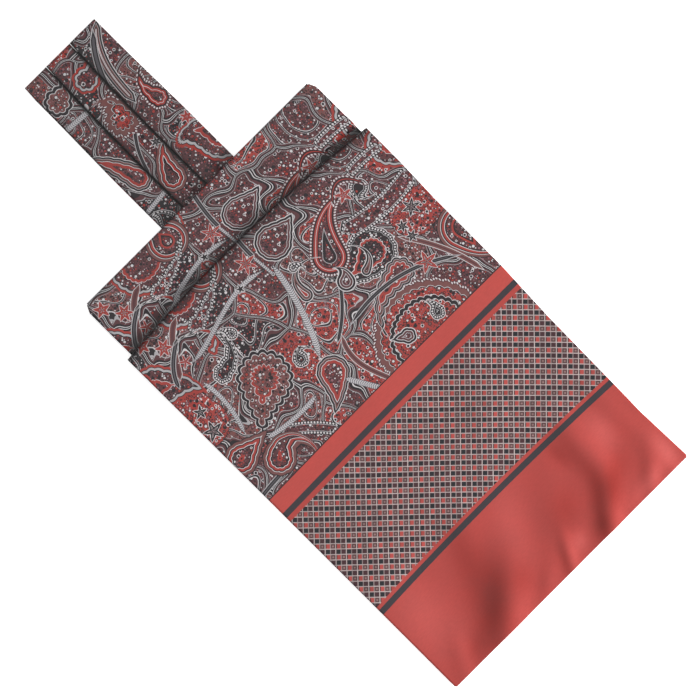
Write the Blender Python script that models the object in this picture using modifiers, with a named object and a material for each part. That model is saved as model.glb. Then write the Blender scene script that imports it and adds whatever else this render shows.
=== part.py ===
"""A silk cravat, pleated at the neckband and laid flat in folds.

The cravat lies on the plane z = 0. The folded end of the neckband points to +Y and the hem of
the front blade to -Y. Heights are those of the middle of each cloth wall. A wall is the doubled
silk of a self-lined cravat, and each layer rests just clear of the one below it.
"""
import math
from collections import namedtuple

import bmesh
import bpy
from mathutils import Vector

MM = 0.001

# Driving dimensions
LENGTH = 369.2 * MM            # from the neckband's folded end to the hem, as laid
BLADE_HALF_WIDTH = 84.1 * MM   # the front blade at its top fold
SHOULDER_HALF_WIDTH = 81.1 * MM
REAR_HALF_WIDTH = 80.5 * MM
NECKBAND_CENTRE = 1.0 * MM     # the neckband runs a little to the right of the blades' middle
NECKBAND_HALF_WIDTH = 25.6 * MM
WALL = 1.0 * MM                # one doubled thickness of silk
GAP = 0.3 * MM                 # air between a layer and the next
LAYER = WALL + GAP             # from the middle of a wall to the middle of the next
REST = WALL / 2                # the middle of a wall that lies on the surface

# Places along the cravat, measured from the hem
SHOULDER_FOLD = 269.7 * MM     # the shoulder's folded top edge, over the neckband
BLADE_FOLD = 236.0 * MM        # the front blade's rolled top fold
REAR_TOP = 257.0 * MM          # where the rear blade is sewn to the neckband's under pass
BAND_INNER_END = 226.0 * MM    # where the neckband's upper pass widens into the hidden folds
HIDDEN_BOTTOM = 172.0 * MM     # the lowest hidden fold
HIDDEN_TOP = 262.0 * MM        # the shoulders of the blade beside the neckband

# Pleats
PLEAT_LAP = 7.0 * MM           # how far a strip runs on under its neighbour
LAP_SLOPE = 5.5 * MM           # over this width a strip comes down from the lap
LEFT_PLEAT_LINE = -8.6 * MM
RIGHT_PLEAT_LINE = 8.2 * MM
PLEAT_BOW = 1.6 * MM           # how far the pleat lines bow to the left halfway along
TIP_NARROWING = 0.7 * MM       # each side of the band draws in by this towards its end
UNDER_PEEK = 0.5 * MM          # the under pass shows this much along the left edge
TURN_LENGTH = 4.0 * MM         # the stretch in which the strips turn over the band's end
UPPER_ROWS = 8
UNDER_ROWS = 5
STRIP_COLUMNS = 10

# Folds
FOLD_SEGMENTS = 6
FLAT_FOLD_RADIUS = LAYER / 2
ROLL_RADIUS = 1.1 * MM         # the front blade's soft roll
ROLL_BOW = 4.5 * MM            # its top fold bows towards the neckband in the middle
ROLL_TILT = -1.2 * MM          # and leans down towards the right edge
BOW_STARTS = 150.0 * MM        # below this the cloth lies square, above BOW_FULL it bows fully
BOW_FULL = 225.0 * MM
HUMP_SLOPE = 24.0 * MM         # over this width the cloth comes down beside the neckband

# Levels: the middle of each wall where it lies flat
HIDDEN_BASE = WALL + GAP
HIDDEN_HEIGHT = 1.6 * MM
HIDDEN_LAYERS = 3
HIDDEN_CORNER = 8.0 * MM
HIDDEN_GROOVE = 0.25 * MM      # how deep the edge dips between one hidden layer and the next
CORNER_STEPS = 5
BAND_UPPER = REST + LAYER
SHOULDER_SIDE = HIDDEN_BASE + HIDDEN_HEIGHT + GAP + REST
SHOULDER_CENTRE = BAND_UPPER + 2 * LAYER
BLADE_REST = REST + LAYER

Section = namedtuple("Section", "along centre side left right steps")
Strip = namedtuple("Strip", "name left right lap_under laps_over")
Swell = namedtuple("Swell", "across along length width height")

# Soft swells near the hem, all running slantwise down to the left as the silk relaxes
SWELLS = (
    Swell(74 * MM, 10 * MM, 16 * MM, 7 * MM, 0.9 * MM),
    Swell(40 * MM, 10 * MM, 18 * MM, 6 * MM, 1.1 * MM),
    Swell(12 * MM, 12 * MM, 20 * MM, 6 * MM, 1.2 * MM),
    Swell(-22 * MM, 20 * MM, 26 * MM, 8 * MM, 0.8 * MM),
    Swell(-60 * MM, 14 * MM, 20 * MM, 8 * MM, 0.7 * MM),
)
SWELL_DIRECTION = Vector((1.0, 1.0)).normalized()

PAISLEY_MAROON = (0.150, 0.055, 0.058, 1.0)
SHADE_MAROON = (0.090, 0.040, 0.042, 1.0)
CORAL_RED = (0.560, 0.088, 0.075, 1.0)


def clear_scene():
    for old in list(bpy.data.objects):
        bpy.data.objects.remove(old, do_unlink=True)


def new_collection(name):
    collection = bpy.data.collections.new(name)
    bpy.context.scene.collection.children.link(collection)
    return collection


def silk(name, colour):
    """A satin-like silk: fairly smooth, never metallic."""
    material = bpy.data.materials.new(name)
    material.use_nodes = True
    shader = material.node_tree.nodes["Principled BSDF"]
    shader.inputs["Base Color"].default_value = colour
    shader.inputs["Roughness"].default_value = 0.45
    shader.inputs["Metallic"].default_value = 0.0
    return material


def eased(t):
    """From 0 to 1, level at both ends."""
    t = min(max(t, 0.0), 1.0)
    return t * t * (3.0 - 2.0 * t)


def hump(across):
    """1 over the neckband, 0 well beside it."""
    beside = abs(across - NECKBAND_CENTRE) - NECKBAND_HALF_WIDTH
    return 1.0 - eased(beside / HUMP_SLOPE)


def filled_in(table):
    """The table's sections with the steps between them: places run straight, heights ease."""
    sections = []
    for first, last in zip(table, table[1:]):
        for step in range(first.steps):
            t = step / first.steps
            rise = eased(t)
            sections.append(Section(
                first.along + (last.along - first.along) * t,
                first.centre + (last.centre - first.centre) * rise,
                first.side + (last.side - first.side) * rise,
                first.left + (last.left - first.left) * t,
                first.right + (last.right - first.right) * t,
                1,
            ))
    sections.append(table[-1])
    return sections


def turned_over(edge, centre, side, radius, half_width):
    """A fold that comes from below and turns over at edge, as sections of a half circle."""
    sections = []
    for step in range(1, FOLD_SEGMENTS):
        angle = math.pi * step / FOLD_SEGMENTS
        up = radius * (1.0 - math.cos(angle))
        along = edge - REST - radius + radius * math.sin(angle)
        sections.append(Section(along, centre + up, side + up, half_width, half_width, 1))
    return sections


def bent_grid(name, rows, columns, place):
    """A grid primitive whose every point goes to place(row, column), both from 0 to 1."""
    mesh = bpy.data.meshes.new(name)
    bm = bmesh.new()
    bmesh.ops.create_grid(bm, x_segments=columns, y_segments=rows, size=1.0)
    for vertex in bm.verts:
        vertex.co = place((vertex.co.y + 1.0) / 2.0, (vertex.co.x + 1.0) / 2.0)
    bmesh.ops.recalc_face_normals(bm, faces=bm.faces)
    bm.to_mesh(mesh)
    bm.free()
    return bpy.data.objects.new(name, mesh)


def add_cloth(collection, sheet, colour):
    """Gives an open sheet its wall, its silk and its place in the collection."""
    wall = sheet.modifiers.new("doubled silk", "SOLIDIFY")
    wall.thickness = WALL
    wall.offset = 0.0
    wall.use_even_offset = True
    sheet.data.materials.append(silk(sheet.name + "_silk", colour))
    sheet.data.shade_smooth()
    collection.objects.link(sheet)


def swell_height(across, along):
    """How far the soft swells lift the front blade here."""
    height = 0.0
    for swell in SWELLS:
        offset = Vector((across - swell.across, along - swell.along))
        down = offset.dot(SWELL_DIRECTION) / swell.length
        over = offset.cross(SWELL_DIRECTION) / swell.width
        height += swell.height * math.exp(-down * down - over * over)
    return height


def sheet_through(name, sections, columns, shape=None):
    """A sheet through its sections, which shape(across, along, height) may alter."""
    last_row = len(sections) - 1

    def place(row, column):
        section = sections[round(row * last_row)]
        across = -section.left + (section.left + section.right) * column
        height = section.side + (section.centre - section.side) * hump(across)
        along = section.along
        if shape:
            along, height = shape(across, along, height)
        return Vector((across, along - LENGTH / 2, height))

    return bent_grid(name, last_row, columns, place)


def front_blade(collection):
    """From under its own roll, over the top fold and down to the hem."""
    low_centre = SHOULDER_CENTRE + LAYER
    low_side = SHOULDER_SIDE + LAYER
    wide = BLADE_HALF_WIDTH
    over_centre = low_centre + 2 * ROLL_RADIUS
    over_side = low_side + 2 * ROLL_RADIUS
    under_pass = (
        Section(212 * MM, low_centre, low_side, wide, wide, 2),
        Section(BLADE_FOLD - REST - ROLL_RADIUS, low_centre, low_side, wide, wide, 1),
    )
    upper_pass = (
        Section(BLADE_FOLD - REST - ROLL_RADIUS, over_centre, over_side, wide, wide, 2),
        Section(228 * MM, over_centre - 0.2 * MM, over_side - 0.2 * MM, wide, wide, 2),
        Section(212 * MM, low_centre + LAYER, low_side + LAYER, wide, wide, 4),
        Section(184 * MM, SHOULDER_SIDE + 0.6 * MM, SHOULDER_SIDE, wide, 83.4 * MM, 2),
        Section(168 * MM, SHOULDER_SIDE, SHOULDER_SIDE, wide, 83.4 * MM, 4),
        Section(136 * MM, BLADE_REST, BLADE_REST, wide, 83.4 * MM, 3),
        Section(100 * MM, BLADE_REST, BLADE_REST, wide, 81.9 * MM, 3),
        Section(51 * MM, BLADE_REST, BLADE_REST, wide, 81.2 * MM, 2),
        Section(33 * MM, BLADE_REST, BLADE_REST, wide, 80.8 * MM, 4),
        Section(0.8 * MM, BLADE_REST, BLADE_REST, wide, 81.9 * MM, 1),
        Section(0.0, BLADE_REST, BLADE_REST, wide - 0.8 * MM, 81.1 * MM, 1),
    )
    roll = turned_over(BLADE_FOLD, low_centre, low_side, ROLL_RADIUS, wide)
    sections = filled_in(under_pass) + roll + filled_in(upper_pass)

    def shape(across, along, height):
        where = across / BLADE_HALF_WIDTH
        bow = ROLL_BOW * (1.0 - where * where) - ROLL_BOW / 2 + ROLL_TILT * where
        near_roll = eased((along - BOW_STARTS) / (BOW_FULL - BOW_STARTS))
        return along + bow * near_roll, height + swell_height(across, along)

    sheet = sheet_through("front_blade", sections, 20, shape)
    add_cloth(collection, sheet, CORAL_RED)


def blade_shoulder(collection):
    """The stretch that turns over above the neckband and dips in under the front blade."""
    wide = SHOULDER_HALF_WIDTH
    corner = wide - 2.9 * MM
    high_centre = SHOULDER_CENTRE + LAYER
    high_side = SHOULDER_SIDE + LAYER
    before_fold = SHOULDER_FOLD - REST - FLAT_FOLD_RADIUS
    under_pass = (
        Section(247 * MM, SHOULDER_CENTRE, SHOULDER_SIDE, wide, wide, 2),
        Section(265 * MM, SHOULDER_CENTRE, SHOULDER_SIDE, wide, wide, 1),
        Section(before_fold, SHOULDER_CENTRE, SHOULDER_SIDE, corner + 0.8 * MM, corner + 0.8 * MM, 1),
    )
    upper_pass = (
        Section(before_fold, high_centre, high_side, corner + 0.8 * MM, corner + 0.8 * MM, 1),
        Section(265 * MM, high_centre, high_side, wide, wide, 2),
        Section(251 * MM, high_centre, high_side, wide, wide, 4),
        Section(240 * MM, SHOULDER_CENTRE, SHOULDER_SIDE, wide, wide, 2),
        Section(220 * MM, SHOULDER_CENTRE, SHOULDER_SIDE, wide, wide, 1),
    )
    fold = turned_over(SHOULDER_FOLD, SHOULDER_CENTRE, SHOULDER_SIDE, FLAT_FOLD_RADIUS, corner)
    sections = filled_in(under_pass) + fold + filled_in(upper_pass)
    add_cloth(collection, sheet_through("blade_shoulder", sections, 18), PAISLEY_MAROON)


def rear_blade(collection):
    """The twin blade, flat on the surface."""
    wide = REAR_HALF_WIDTH
    sections = filled_in((
        Section(1.4 * MM, REST, REST, wide, wide, 3),
        Section(240 * MM, REST, REST, wide, wide, 2),
        Section(REAR_TOP, REST, REST, wide - 5 * MM, wide - 5 * MM, 1),
    ))
    add_cloth(collection, sheet_through("rear_blade", sections, 4), PAISLEY_MAROON)


def band_path(step, high):
    """The along and height of a strip's middle after so many steps, where its upper pass is this high."""
    radius = (high - REST) / 2
    turn_from = LENGTH - TURN_LENGTH
    turned = step - UPPER_ROWS
    if turned < 0:
        return BAND_INNER_END + (turn_from - BAND_INNER_END) * step / (UPPER_ROWS - 1), high
    if turned <= FOLD_SEGMENTS:
        angle = math.pi * turned / FOLD_SEGMENTS
        along = LENGTH - REST - radius + radius * math.sin(angle)
        return along, REST + radius * (1.0 + math.cos(angle))
    back = (turned - FOLD_SEGMENTS) / UNDER_ROWS
    return turn_from + (REAR_TOP + GAP - turn_from) * back, REST


def pleat_strip(collection, strip):
    """One pleat of the neckband: upper pass, turn over the band's end, under pass."""
    last_row = UPPER_ROWS + FOLD_SEGMENTS + UNDER_ROWS

    def place(row, column):
        step = round(row * last_row)
        above = step < UPPER_ROWS
        flat_along = band_path(step, BAND_UPPER)[0]
        progress = (flat_along - BAND_INNER_END) / (LENGTH - BAND_INNER_END)
        bow = PLEAT_BOW * 4.0 * progress * (1.0 - progress) if above else 0.0
        narrower = TIP_NARROWING * eased((progress - 0.5) / 0.4)
        left = strip.left - bow if strip.laps_over else strip.left + narrower
        right = strip.right - bow if strip.lap_under else strip.right - narrower
        if step < UPPER_ROWS - 1:
            right += strip.lap_under
        elif step > UPPER_ROWS + FOLD_SEGMENTS and not strip.laps_over:
            left -= UNDER_PEEK
        across = left + (right - left) * column
        lift = 0.0
        if strip.laps_over:
            lift = LAYER * (1.0 - eased((across - left - strip.laps_over - GAP) / LAP_SLOPE))
        along, height = band_path(step, BAND_UPPER + lift)
        return Vector((across, along - LENGTH / 2, height))

    sheet = bent_grid(strip.name, last_row, STRIP_COLUMNS, place)
    add_cloth(collection, sheet, PAISLEY_MAROON)


def neckband(collection):
    """Three strips, each lapping over the one to its left."""
    left_edge = NECKBAND_CENTRE - NECKBAND_HALF_WIDTH
    right_edge = NECKBAND_CENTRE + NECKBAND_HALF_WIDTH
    half_gap = GAP / 2
    lines = (LEFT_PLEAT_LINE, RIGHT_PLEAT_LINE)
    edges = (left_edge, *lines, right_edge)
    for number, name in enumerate(("left", "middle", "right")):
        pleat_strip(collection, Strip(
            name="neckband_pleat_" + name,
            left=edges[number] + (half_gap if number > 0 else 0.0),
            right=edges[number + 1] - (half_gap if number < len(lines) else 0.0),
            lap_under=PLEAT_LAP if number < len(lines) else 0.0,
            laps_over=PLEAT_LAP if number > 0 else 0.0,
        ))


def corner_arc(centre_x, centre_y, radius, start):
    """A quarter turn from the start angle, anticlockwise."""
    angles = [start + math.pi / 2 * step / CORNER_STEPS for step in range(CORNER_STEPS + 1)]
    return [Vector((centre_x + radius * math.cos(a), centre_y + radius * math.sin(a))) for a in angles]


def hidden_outline(inset):
    """The hidden folds seen from above, with a notch where the neckband comes in."""
    wide = SHOULDER_HALF_WIDTH - 1.5 * MM - inset
    bottom = HIDDEN_BOTTOM + inset
    top = HIDDEN_TOP - inset
    notch_floor = BAND_INNER_END - WALL - inset
    notch_half = NECKBAND_HALF_WIDTH + 1.5 * MM + inset
    radius = HIDDEN_CORNER
    right_turn = corner_arc(wide - radius, bottom + radius, radius, -math.pi / 2)
    left_turn = corner_arc(-wide + radius, bottom + radius, radius, math.pi)
    notch = [
        Vector((wide, top)),
        Vector((NECKBAND_CENTRE + notch_half, top)),
        Vector((NECKBAND_CENTRE + notch_half, notch_floor)),
        Vector((NECKBAND_CENTRE - notch_half, notch_floor)),
        Vector((NECKBAND_CENTRE - notch_half, top)),
        Vector((-wide, top)),
    ]
    return right_turn + notch + left_turn


def hidden_folds(collection):
    """The layers between the blades, as one plate whose edge shows them one above the other."""
    layer = HIDDEN_HEIGHT / HIDDEN_LAYERS
    edge = ((HIDDEN_GROOVE, 0.0), (0.0, 0.35), (0.0, 0.65))
    rings = [(inset, (number + rise) * layer) for number in range(HIDDEN_LAYERS) for inset, rise in edge]
    rings.append((HIDDEN_GROOVE, HIDDEN_HEIGHT))
    mesh = bpy.data.meshes.new("hidden_folds")
    bm = bmesh.new()
    loops = []
    for inset, height in rings:
        outline = hidden_outline(inset)
        loops.append([bm.verts.new((p.x, p.y - LENGTH / 2, HIDDEN_BASE + height)) for p in outline])
    for lower, upper in zip(loops, loops[1:]):
        for i in range(len(lower)):
            after = (i + 1) % len(lower)
            bm.faces.new((lower[i], lower[after], upper[after], upper[i]))
    bm.faces.new(list(reversed(loops[0])))
    bm.faces.new(loops[-1])
    bmesh.ops.recalc_face_normals(bm, faces=bm.faces)
    bm.to_mesh(mesh)
    bm.free()
    plate = bpy.data.objects.new("hidden_folds", mesh)
    plate.data.materials.append(silk("hidden_folds_silk", SHADE_MAROON))
    collection.objects.link(plate)


clear_scene()
cravat = new_collection("silk_cravat")
rear_blade(cravat)
hidden_folds(cravat)
neckband(cravat)
blade_shoulder(cravat)
front_blade(cravat)
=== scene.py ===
# %% [markdown]
# # A silk cravat, laid flat
# The cravat is one long, doubled strip of printed silk. Its middle is pleated into a narrow
# neckband, here folded double at the top end, and its two ends are broad blades that lie on each
# other. The rear blade turns over above the neckband, and the front blade rolls over on top of it
# and runs down to a straight hem. Everything below is in metres unless a name says millimetres,
# and the silk's own print is measured in millimetres of cloth.

# %% Start from the measured solids
import math

import bmesh
import bpy
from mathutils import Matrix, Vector


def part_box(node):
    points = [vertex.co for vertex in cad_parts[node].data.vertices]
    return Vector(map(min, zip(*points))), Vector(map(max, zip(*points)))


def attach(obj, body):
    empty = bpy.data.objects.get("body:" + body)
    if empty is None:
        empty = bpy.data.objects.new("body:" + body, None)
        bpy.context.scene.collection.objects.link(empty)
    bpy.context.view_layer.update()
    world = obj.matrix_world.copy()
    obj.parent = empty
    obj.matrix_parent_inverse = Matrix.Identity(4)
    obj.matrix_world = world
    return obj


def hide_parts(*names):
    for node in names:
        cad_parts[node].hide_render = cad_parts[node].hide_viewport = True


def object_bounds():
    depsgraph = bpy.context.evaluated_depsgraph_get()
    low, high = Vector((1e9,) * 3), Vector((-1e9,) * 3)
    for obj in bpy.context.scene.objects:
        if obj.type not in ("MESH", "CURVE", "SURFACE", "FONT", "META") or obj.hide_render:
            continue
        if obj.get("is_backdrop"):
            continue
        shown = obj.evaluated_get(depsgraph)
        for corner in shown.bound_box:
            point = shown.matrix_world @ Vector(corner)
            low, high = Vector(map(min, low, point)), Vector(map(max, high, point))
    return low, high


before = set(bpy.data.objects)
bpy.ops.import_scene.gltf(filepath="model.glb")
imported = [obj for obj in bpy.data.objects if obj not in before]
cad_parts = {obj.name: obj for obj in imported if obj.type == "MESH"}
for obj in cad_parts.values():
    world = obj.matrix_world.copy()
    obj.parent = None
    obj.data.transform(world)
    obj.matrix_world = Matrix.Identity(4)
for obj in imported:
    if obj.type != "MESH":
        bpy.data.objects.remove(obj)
cad_low, cad_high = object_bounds()
MM = 0.001
HEM = cad_low[1]
LENGTH = cad_high[1] - cad_low[1]
print("cravat", round(LENGTH / MM, 1), "mm long,", round((cad_high[0] - cad_low[0]) / MM, 1), "mm wide")

# %% [markdown]
# ## Where each layer lies
# A thin cloth is hard to place by eye, because seven layers lie within eight millimetres. So each
# layer's height is read from its own solid: its lowest and highest point tell where the under pass
# and the upper pass of a fold run. The visible silk is thinner than the solids, and it runs through
# the middle of their walls.

# %% Levels read from the solids
SILK = 0.55 * MM     # what is seen: two thicknesses of silk and a little air
WALL = 1.0 * MM      # the solids' wall
HALF_WALL = WALL / 2


def levels(node):
    """The heights of the lowest and highest wall middles in a solid."""
    low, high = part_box(node)
    return low[2] + HALF_WALL, high[2] - HALF_WALL


SHOULDER_LOW, SHOULDER_HIGH = levels("blade_shoulder")
BAND_LOW, BAND_HIGH = levels("neckband_pleat_left")
LAP_HIGH = levels("neckband_pleat_right")[1]
BLADE_HIGH = levels("front_blade")[1]
LAYER = BAND_HIGH - BAND_LOW
REST = SILK / 2
print("layers are", round(LAYER / MM, 2), "mm apart, front blade up to", round(BLADE_HIGH / MM, 2), "mm")

# %% [markdown]
# ## A sheet through a few sections
# Every layer is long and plain, so a short table describes it: one row for each place where its
# height or width changes. A grid primitive is bent through those rows. Sculpting would also do,
# but a table keeps folds parallel and lets the same cloth be remade at any size.
# Each point also stores where it is on the cloth before folding, in a UV map called Cloth. The
# print follows that map, so it turns over a fold as real printed silk does.

# %% Helpers for sheets
NECKBAND_CENTRE = 1.0 * MM
NECKBAND_HALF = 25.6 * MM
HUMP_SLOPE = 24.0 * MM
FOLD_STEPS = 12


def eased(t):
    """From 0 to 1, level at both ends."""
    t = min(max(t, 0.0), 1.0)
    return t * t * (3.0 - 2.0 * t)


def hump(across):
    """1 over the neckband, 0 well beside it."""
    return 1.0 - eased((abs(across - NECKBAND_CENTRE) - NECKBAND_HALF) / HUMP_SLOPE)


def filled_in(table):
    """Rows (along, centre, side, left, right, steps) with the steps between them."""
    rows = []
    for first, last in zip(table, table[1:]):
        for step in range(first[5]):
            t = step / first[5]
            ways = (t, eased(t), eased(t), t, t)
            rows.append(tuple(a + (b - a) * way for a, b, way in zip(first, last, ways)))
    rows.append(tuple(table[-1][:5]))
    return rows


def turned_over(edge, centre, side, radius, half_width):
    """The rows of a half circle that turns over at edge, from below."""
    rows = []
    for step in range(1, FOLD_STEPS):
        angle = math.pi * step / FOLD_STEPS
        up = radius * (1.0 - math.cos(angle))
        rows.append((edge - REST - radius + radius * math.sin(angle), centre + up, side + up,
                     half_width, half_width))
    return rows


def fading(distance, table):
    """A value read between (distance in mm, value) rows, level beyond both ends."""
    distance /= MM
    if distance <= table[0][0]:
        return table[0][1]
    for (near, first), (far, second) in zip(table, table[1:]):
        if distance <= far:
            return first + (second - first) * (distance - near) / (far - near)
    return table[-1][1]


def lengths_along(rows):
    """How much cloth has run by at each row."""
    run = [0.0]
    for (a0, c0, *_), (a1, c1, *_) in zip(rows, rows[1:]):
        run.append(run[-1] + math.hypot(a1 - a0, c1 - c0))
    return run


def bent_grid(name, rows, columns, place):
    """A grid bent to place(row, column) -> (location, cloth point, painted shade), and given a body."""
    bm = bmesh.new()
    bmesh.ops.create_grid(bm, x_segments=columns, y_segments=rows, size=1.0)
    cloth_map = bm.loops.layers.uv.new("Cloth")
    bm.verts.index_update()
    cloth_of, painted_shades = {}, []
    for vertex in bm.verts:
        row = round((vertex.co.y + 1.0) / 2.0 * rows)
        column = (vertex.co.x + 1.0) / 2.0
        # depth is the point's painted shade: darker in folds and at pleats, darker or lighter with the
        # swells' slope
        vertex.co, cloth_of[vertex.index], depth = place(row, column)
        painted_shades.append(depth)
    for face in bm.faces:
        face.smooth = True
        for loop in face.loops:
            loop[cloth_map].uv = cloth_of[loop.vert.index]
    bmesh.ops.recalc_face_normals(bm, faces=bm.faces)
    mesh = bpy.data.meshes.new(name)
    bm.to_mesh(mesh)
    bm.free()
    mesh.attributes.new("Fold depth", "FLOAT", "POINT").data.foreach_set("value", painted_shades)
    sheet = bpy.data.objects.new(name, mesh)
    bpy.context.scene.collection.objects.link(sheet)
    body = sheet.modifiers.new("body of the silk", "SOLIDIFY")
    body.thickness = SILK
    body.offset = 0.0
    body.use_even_offset = True
    return sheet


def sheet_through(name, rows, columns, shape, cloth, painted_shade):
    """A sheet through its rows. shape alters a point, cloth places its print, painted_shade paints its
    shade.
    """
    run = lengths_along(rows)

    def place(row, column):
        along, centre, side, left, right = rows[row]
        across = -left + (left + right) * column
        height = side + (centre - side) * hump(across)
        # the point's painted shade
        depth = painted_shade(across, along, row)
        flat = (across, run[row])
        across, along, height = shape(across, along, height)
        return Vector((across, HEM + along, height)), cloth(*flat), depth

    sheet = bent_grid(name, len(rows) - 1, columns, place)
    print(name, "has", len(sheet.data.vertices), "points and", round(run[-1] / MM), "mm of length")
    return sheet


# %% [markdown]
# ## The front blade
# The blade rolls softly over at the top, so the roll is fatter than a pressed fold. Below it the
# cloth comes down from the stack of folds and lies almost flat to the hem. Silk never lies quite
# flat: it relaxes into long swells that run slantwise across the grain, and the stitched hem holds
# short puckers. Each swell is one row of a table, soft and of its own length, width and height.
# A cloth simulation would also give swells, but not these ones in these places.

# %% Front blade's sizes and swells
BLADE_HALF = 84.1 * MM
BLADE_FOLD = 236.0 * MM
ROLL_RADIUS = 1.3 * MM
ROLL_BOW = 4.5 * MM
ROLL_TILT = -1.2 * MM
UNDER_SIDE = SHOULDER_LOW + LAYER
UNDER_CENTRE = SHOULDER_HIGH
# across, along, length, width, height in mm, and the direction of the swell in degrees
SWELLS = (
    (-37, 9, 27, 10.0, 2.2, 42),
    (34, 8, 22, 6.5, 1.9, 54),
    (47, 38, 22, 8.0, 1.7, 86),
    (3, 5, 13, 3.6, 0.8, 62),
    (-14, 4, 10, 4.6, 0.4, 40),
    (62, 6, 15, 4.5, 0.6, 50),
    (-72, 8, 14, 5.0, 0.4, 60),
    (-30, 44, 26, 8.0, 0.6, 62),
    (12, 26, 26, 9.0, 0.5, 48),
    (72, 42, 30, 6.0, 0.5, 92),
    (30, 92, 40, 14, 0.5, 55),
    (-30, 100, 45, 16, 0.5, 50),
    (-62, 84, 30, 12, 0.4, 60),
    (-10, 190, 40, 14, 0.5, 30),
    (45, 196, 30, 11, 0.6, 20),
    (-52, 205, 34, 10, 0.5, 28),
)
print(len(SWELLS), "swells, up to", max(row[4] for row in SWELLS), "mm high")

# %% [markdown]
# ## Painted shade that follows the folds
# The silk's colour is painted darker where a tight fold would lie in shade, and darker or lighter
# with the slope of the swells, as if lit from the hem's side: painted shade and painted highlight.
# Both are stored with the points as one number, the painted shade, which the silk's material
# reads. Lamps alone could do it, but they would have to be harsh, and would then spoil the rest.
# Broad patches of painted shade and highlight that no swell explains are rows of a second table,
# in the same form.

# %% Painted shade and light patches, and soft ovals
# across, along, length and width in mm, how much painted shade (or, below 0, painted highlight), and the
# direction
PAINTED_SHADE_AND_LIGHT_PATCHES = (
    (-41, 18, 24, 11, 0.24, 56),
    (-31, 36, 20, 9, 0.16, 78),
    (-21, 15, 9, 6, 0.20, 50),
    (-70, 36, 24, 14, -0.24, 80),
    (-62, 7, 9, 5, 0.14, 30),
    (-5, 42, 20, 10, -0.20, 60),
    (18, 24, 13, 8, 0.22, 40),
    (13, 8, 6, 4, -0.28, 50),
    (27, 5, 6, 5, 0.18, 40),
    (42, 14, 12, 5, 0.32, 50),
    (36, 47, 8, 3.5, 0.16, 92),
    (52, 21, 12, 7, 0.22, 30),
    (61, 40, 12, 7, -0.26, 80),
    (58, 4, 12, 4, -0.28, 10),
    (76, 9, 11, 5, -0.40, 80),
)


def soft_sum(across, along, rows):
    """The sum of soft ovals here, each as strong as its row says."""
    total = 0.0
    for x, y, length, width, strength, turn in rows:
        dx, dy = across / MM - x, along / MM - y
        cos, sin = math.cos(math.radians(turn)), math.sin(math.radians(turn))
        down, over = (dx * cos + dy * sin) / length, (dy * cos - dx * sin) / width
        total += strength * math.exp(-down * down - over * over)
    return total


def swell_height(across, along, swells):
    """How far the silk is lifted here by soft swells."""
    return soft_sum(across, along, swells) * MM


def roll_bow(across):
    """How far the roll's line lies past a straight one: it bows up in the middle and tilts a little."""
    where = across / BLADE_HALF
    return ROLL_BOW * (1.0 - where * where) - ROLL_BOW / 2 + ROLL_TILT * where


print(len(PAINTED_SHADE_AND_LIGHT_PATCHES), "patches of painted shade and light; the roll bows by", ROLL_BOW / MM, "mm")

# %% Front blade's shape, print and painted shade
PUCKER = 0.10 * MM
PUCKER_WAVE = 2.1 * MM
PUCKERED = 4 * MM
BOW_FROM, BOW_GROWS_OVER = 150 * MM, 75 * MM
STRIPE_HALF = 75 * MM
LOW_STRIPES_BOW, HIGH_STRIPES_BOW = 1.5 * MM, 0.5 * MM
LOW_STRIPES_END, STRIPES_CHANGE_OVER = 60 * MM, 60 * MM


def front_shape(across, along, height):
    """Lifts the silk in its swells and puckers, and bows it near the roll."""
    near_roll = eased((along - BOW_FROM) / BOW_GROWS_OVER)
    hem = PUCKER * math.sin(across / PUCKER_WAVE) * eased(1.0 - along / PUCKERED)
    height += swell_height(across, along, SWELLS) + hem
    return across, along + roll_bow(across) * near_roll, height


def front_cloth(across, run):
    """The print of the front blade: stripes bow a little towards the neckband in the middle."""
    along = FRONT_RUN - run
    where = across / STRIPE_HALF
    low_bow = LOW_STRIPES_BOW * (1.0 - where * where)
    high_bow = HIGH_STRIPES_BOW * (where - where * where)
    share = eased((along - LOW_STRIPES_END) / STRIPES_CHANGE_OVER)
    return across, along - (low_bow + (high_bow - low_bow) * share)


# distance in mm below the roll's edge, and how much painted shade darkens the silk there
ROLL_SHADE = ((0.0, 0.86), (1.0, 0.7), (2.0, 0.5), (3.5, 0.3), (5.0, 0.14), (8.0, 0.0))
# painted shade and highlight from the swells' slope: darker where the silk rises towards the hem side
# lamp, lighter where it falls towards it
SLOPE_PAINTED_SHADE = 1.25     # a slope of 0.1 changes the silk's tone by an eighth
SWELL_STEP = 0.5 * MM


def front_painted_shade(across, along, row):
    """Painted shade in the valley behind the roll, and painted shade or highlight that shifts with the
    slope of the swells and with the patches.
    """
    rise = (swell_height(across + 0.6 * SWELL_STEP, along - 0.8 * SWELL_STEP, SWELLS)
            - swell_height(across, along, SWELLS)) / SWELL_STEP
    patches = soft_sum(across, along, PAINTED_SHADE_AND_LIGHT_PATCHES)
    return fading(BLADE_FOLD - along, ROLL_SHADE) + SLOPE_PAINTED_SHADE * rise + patches


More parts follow.
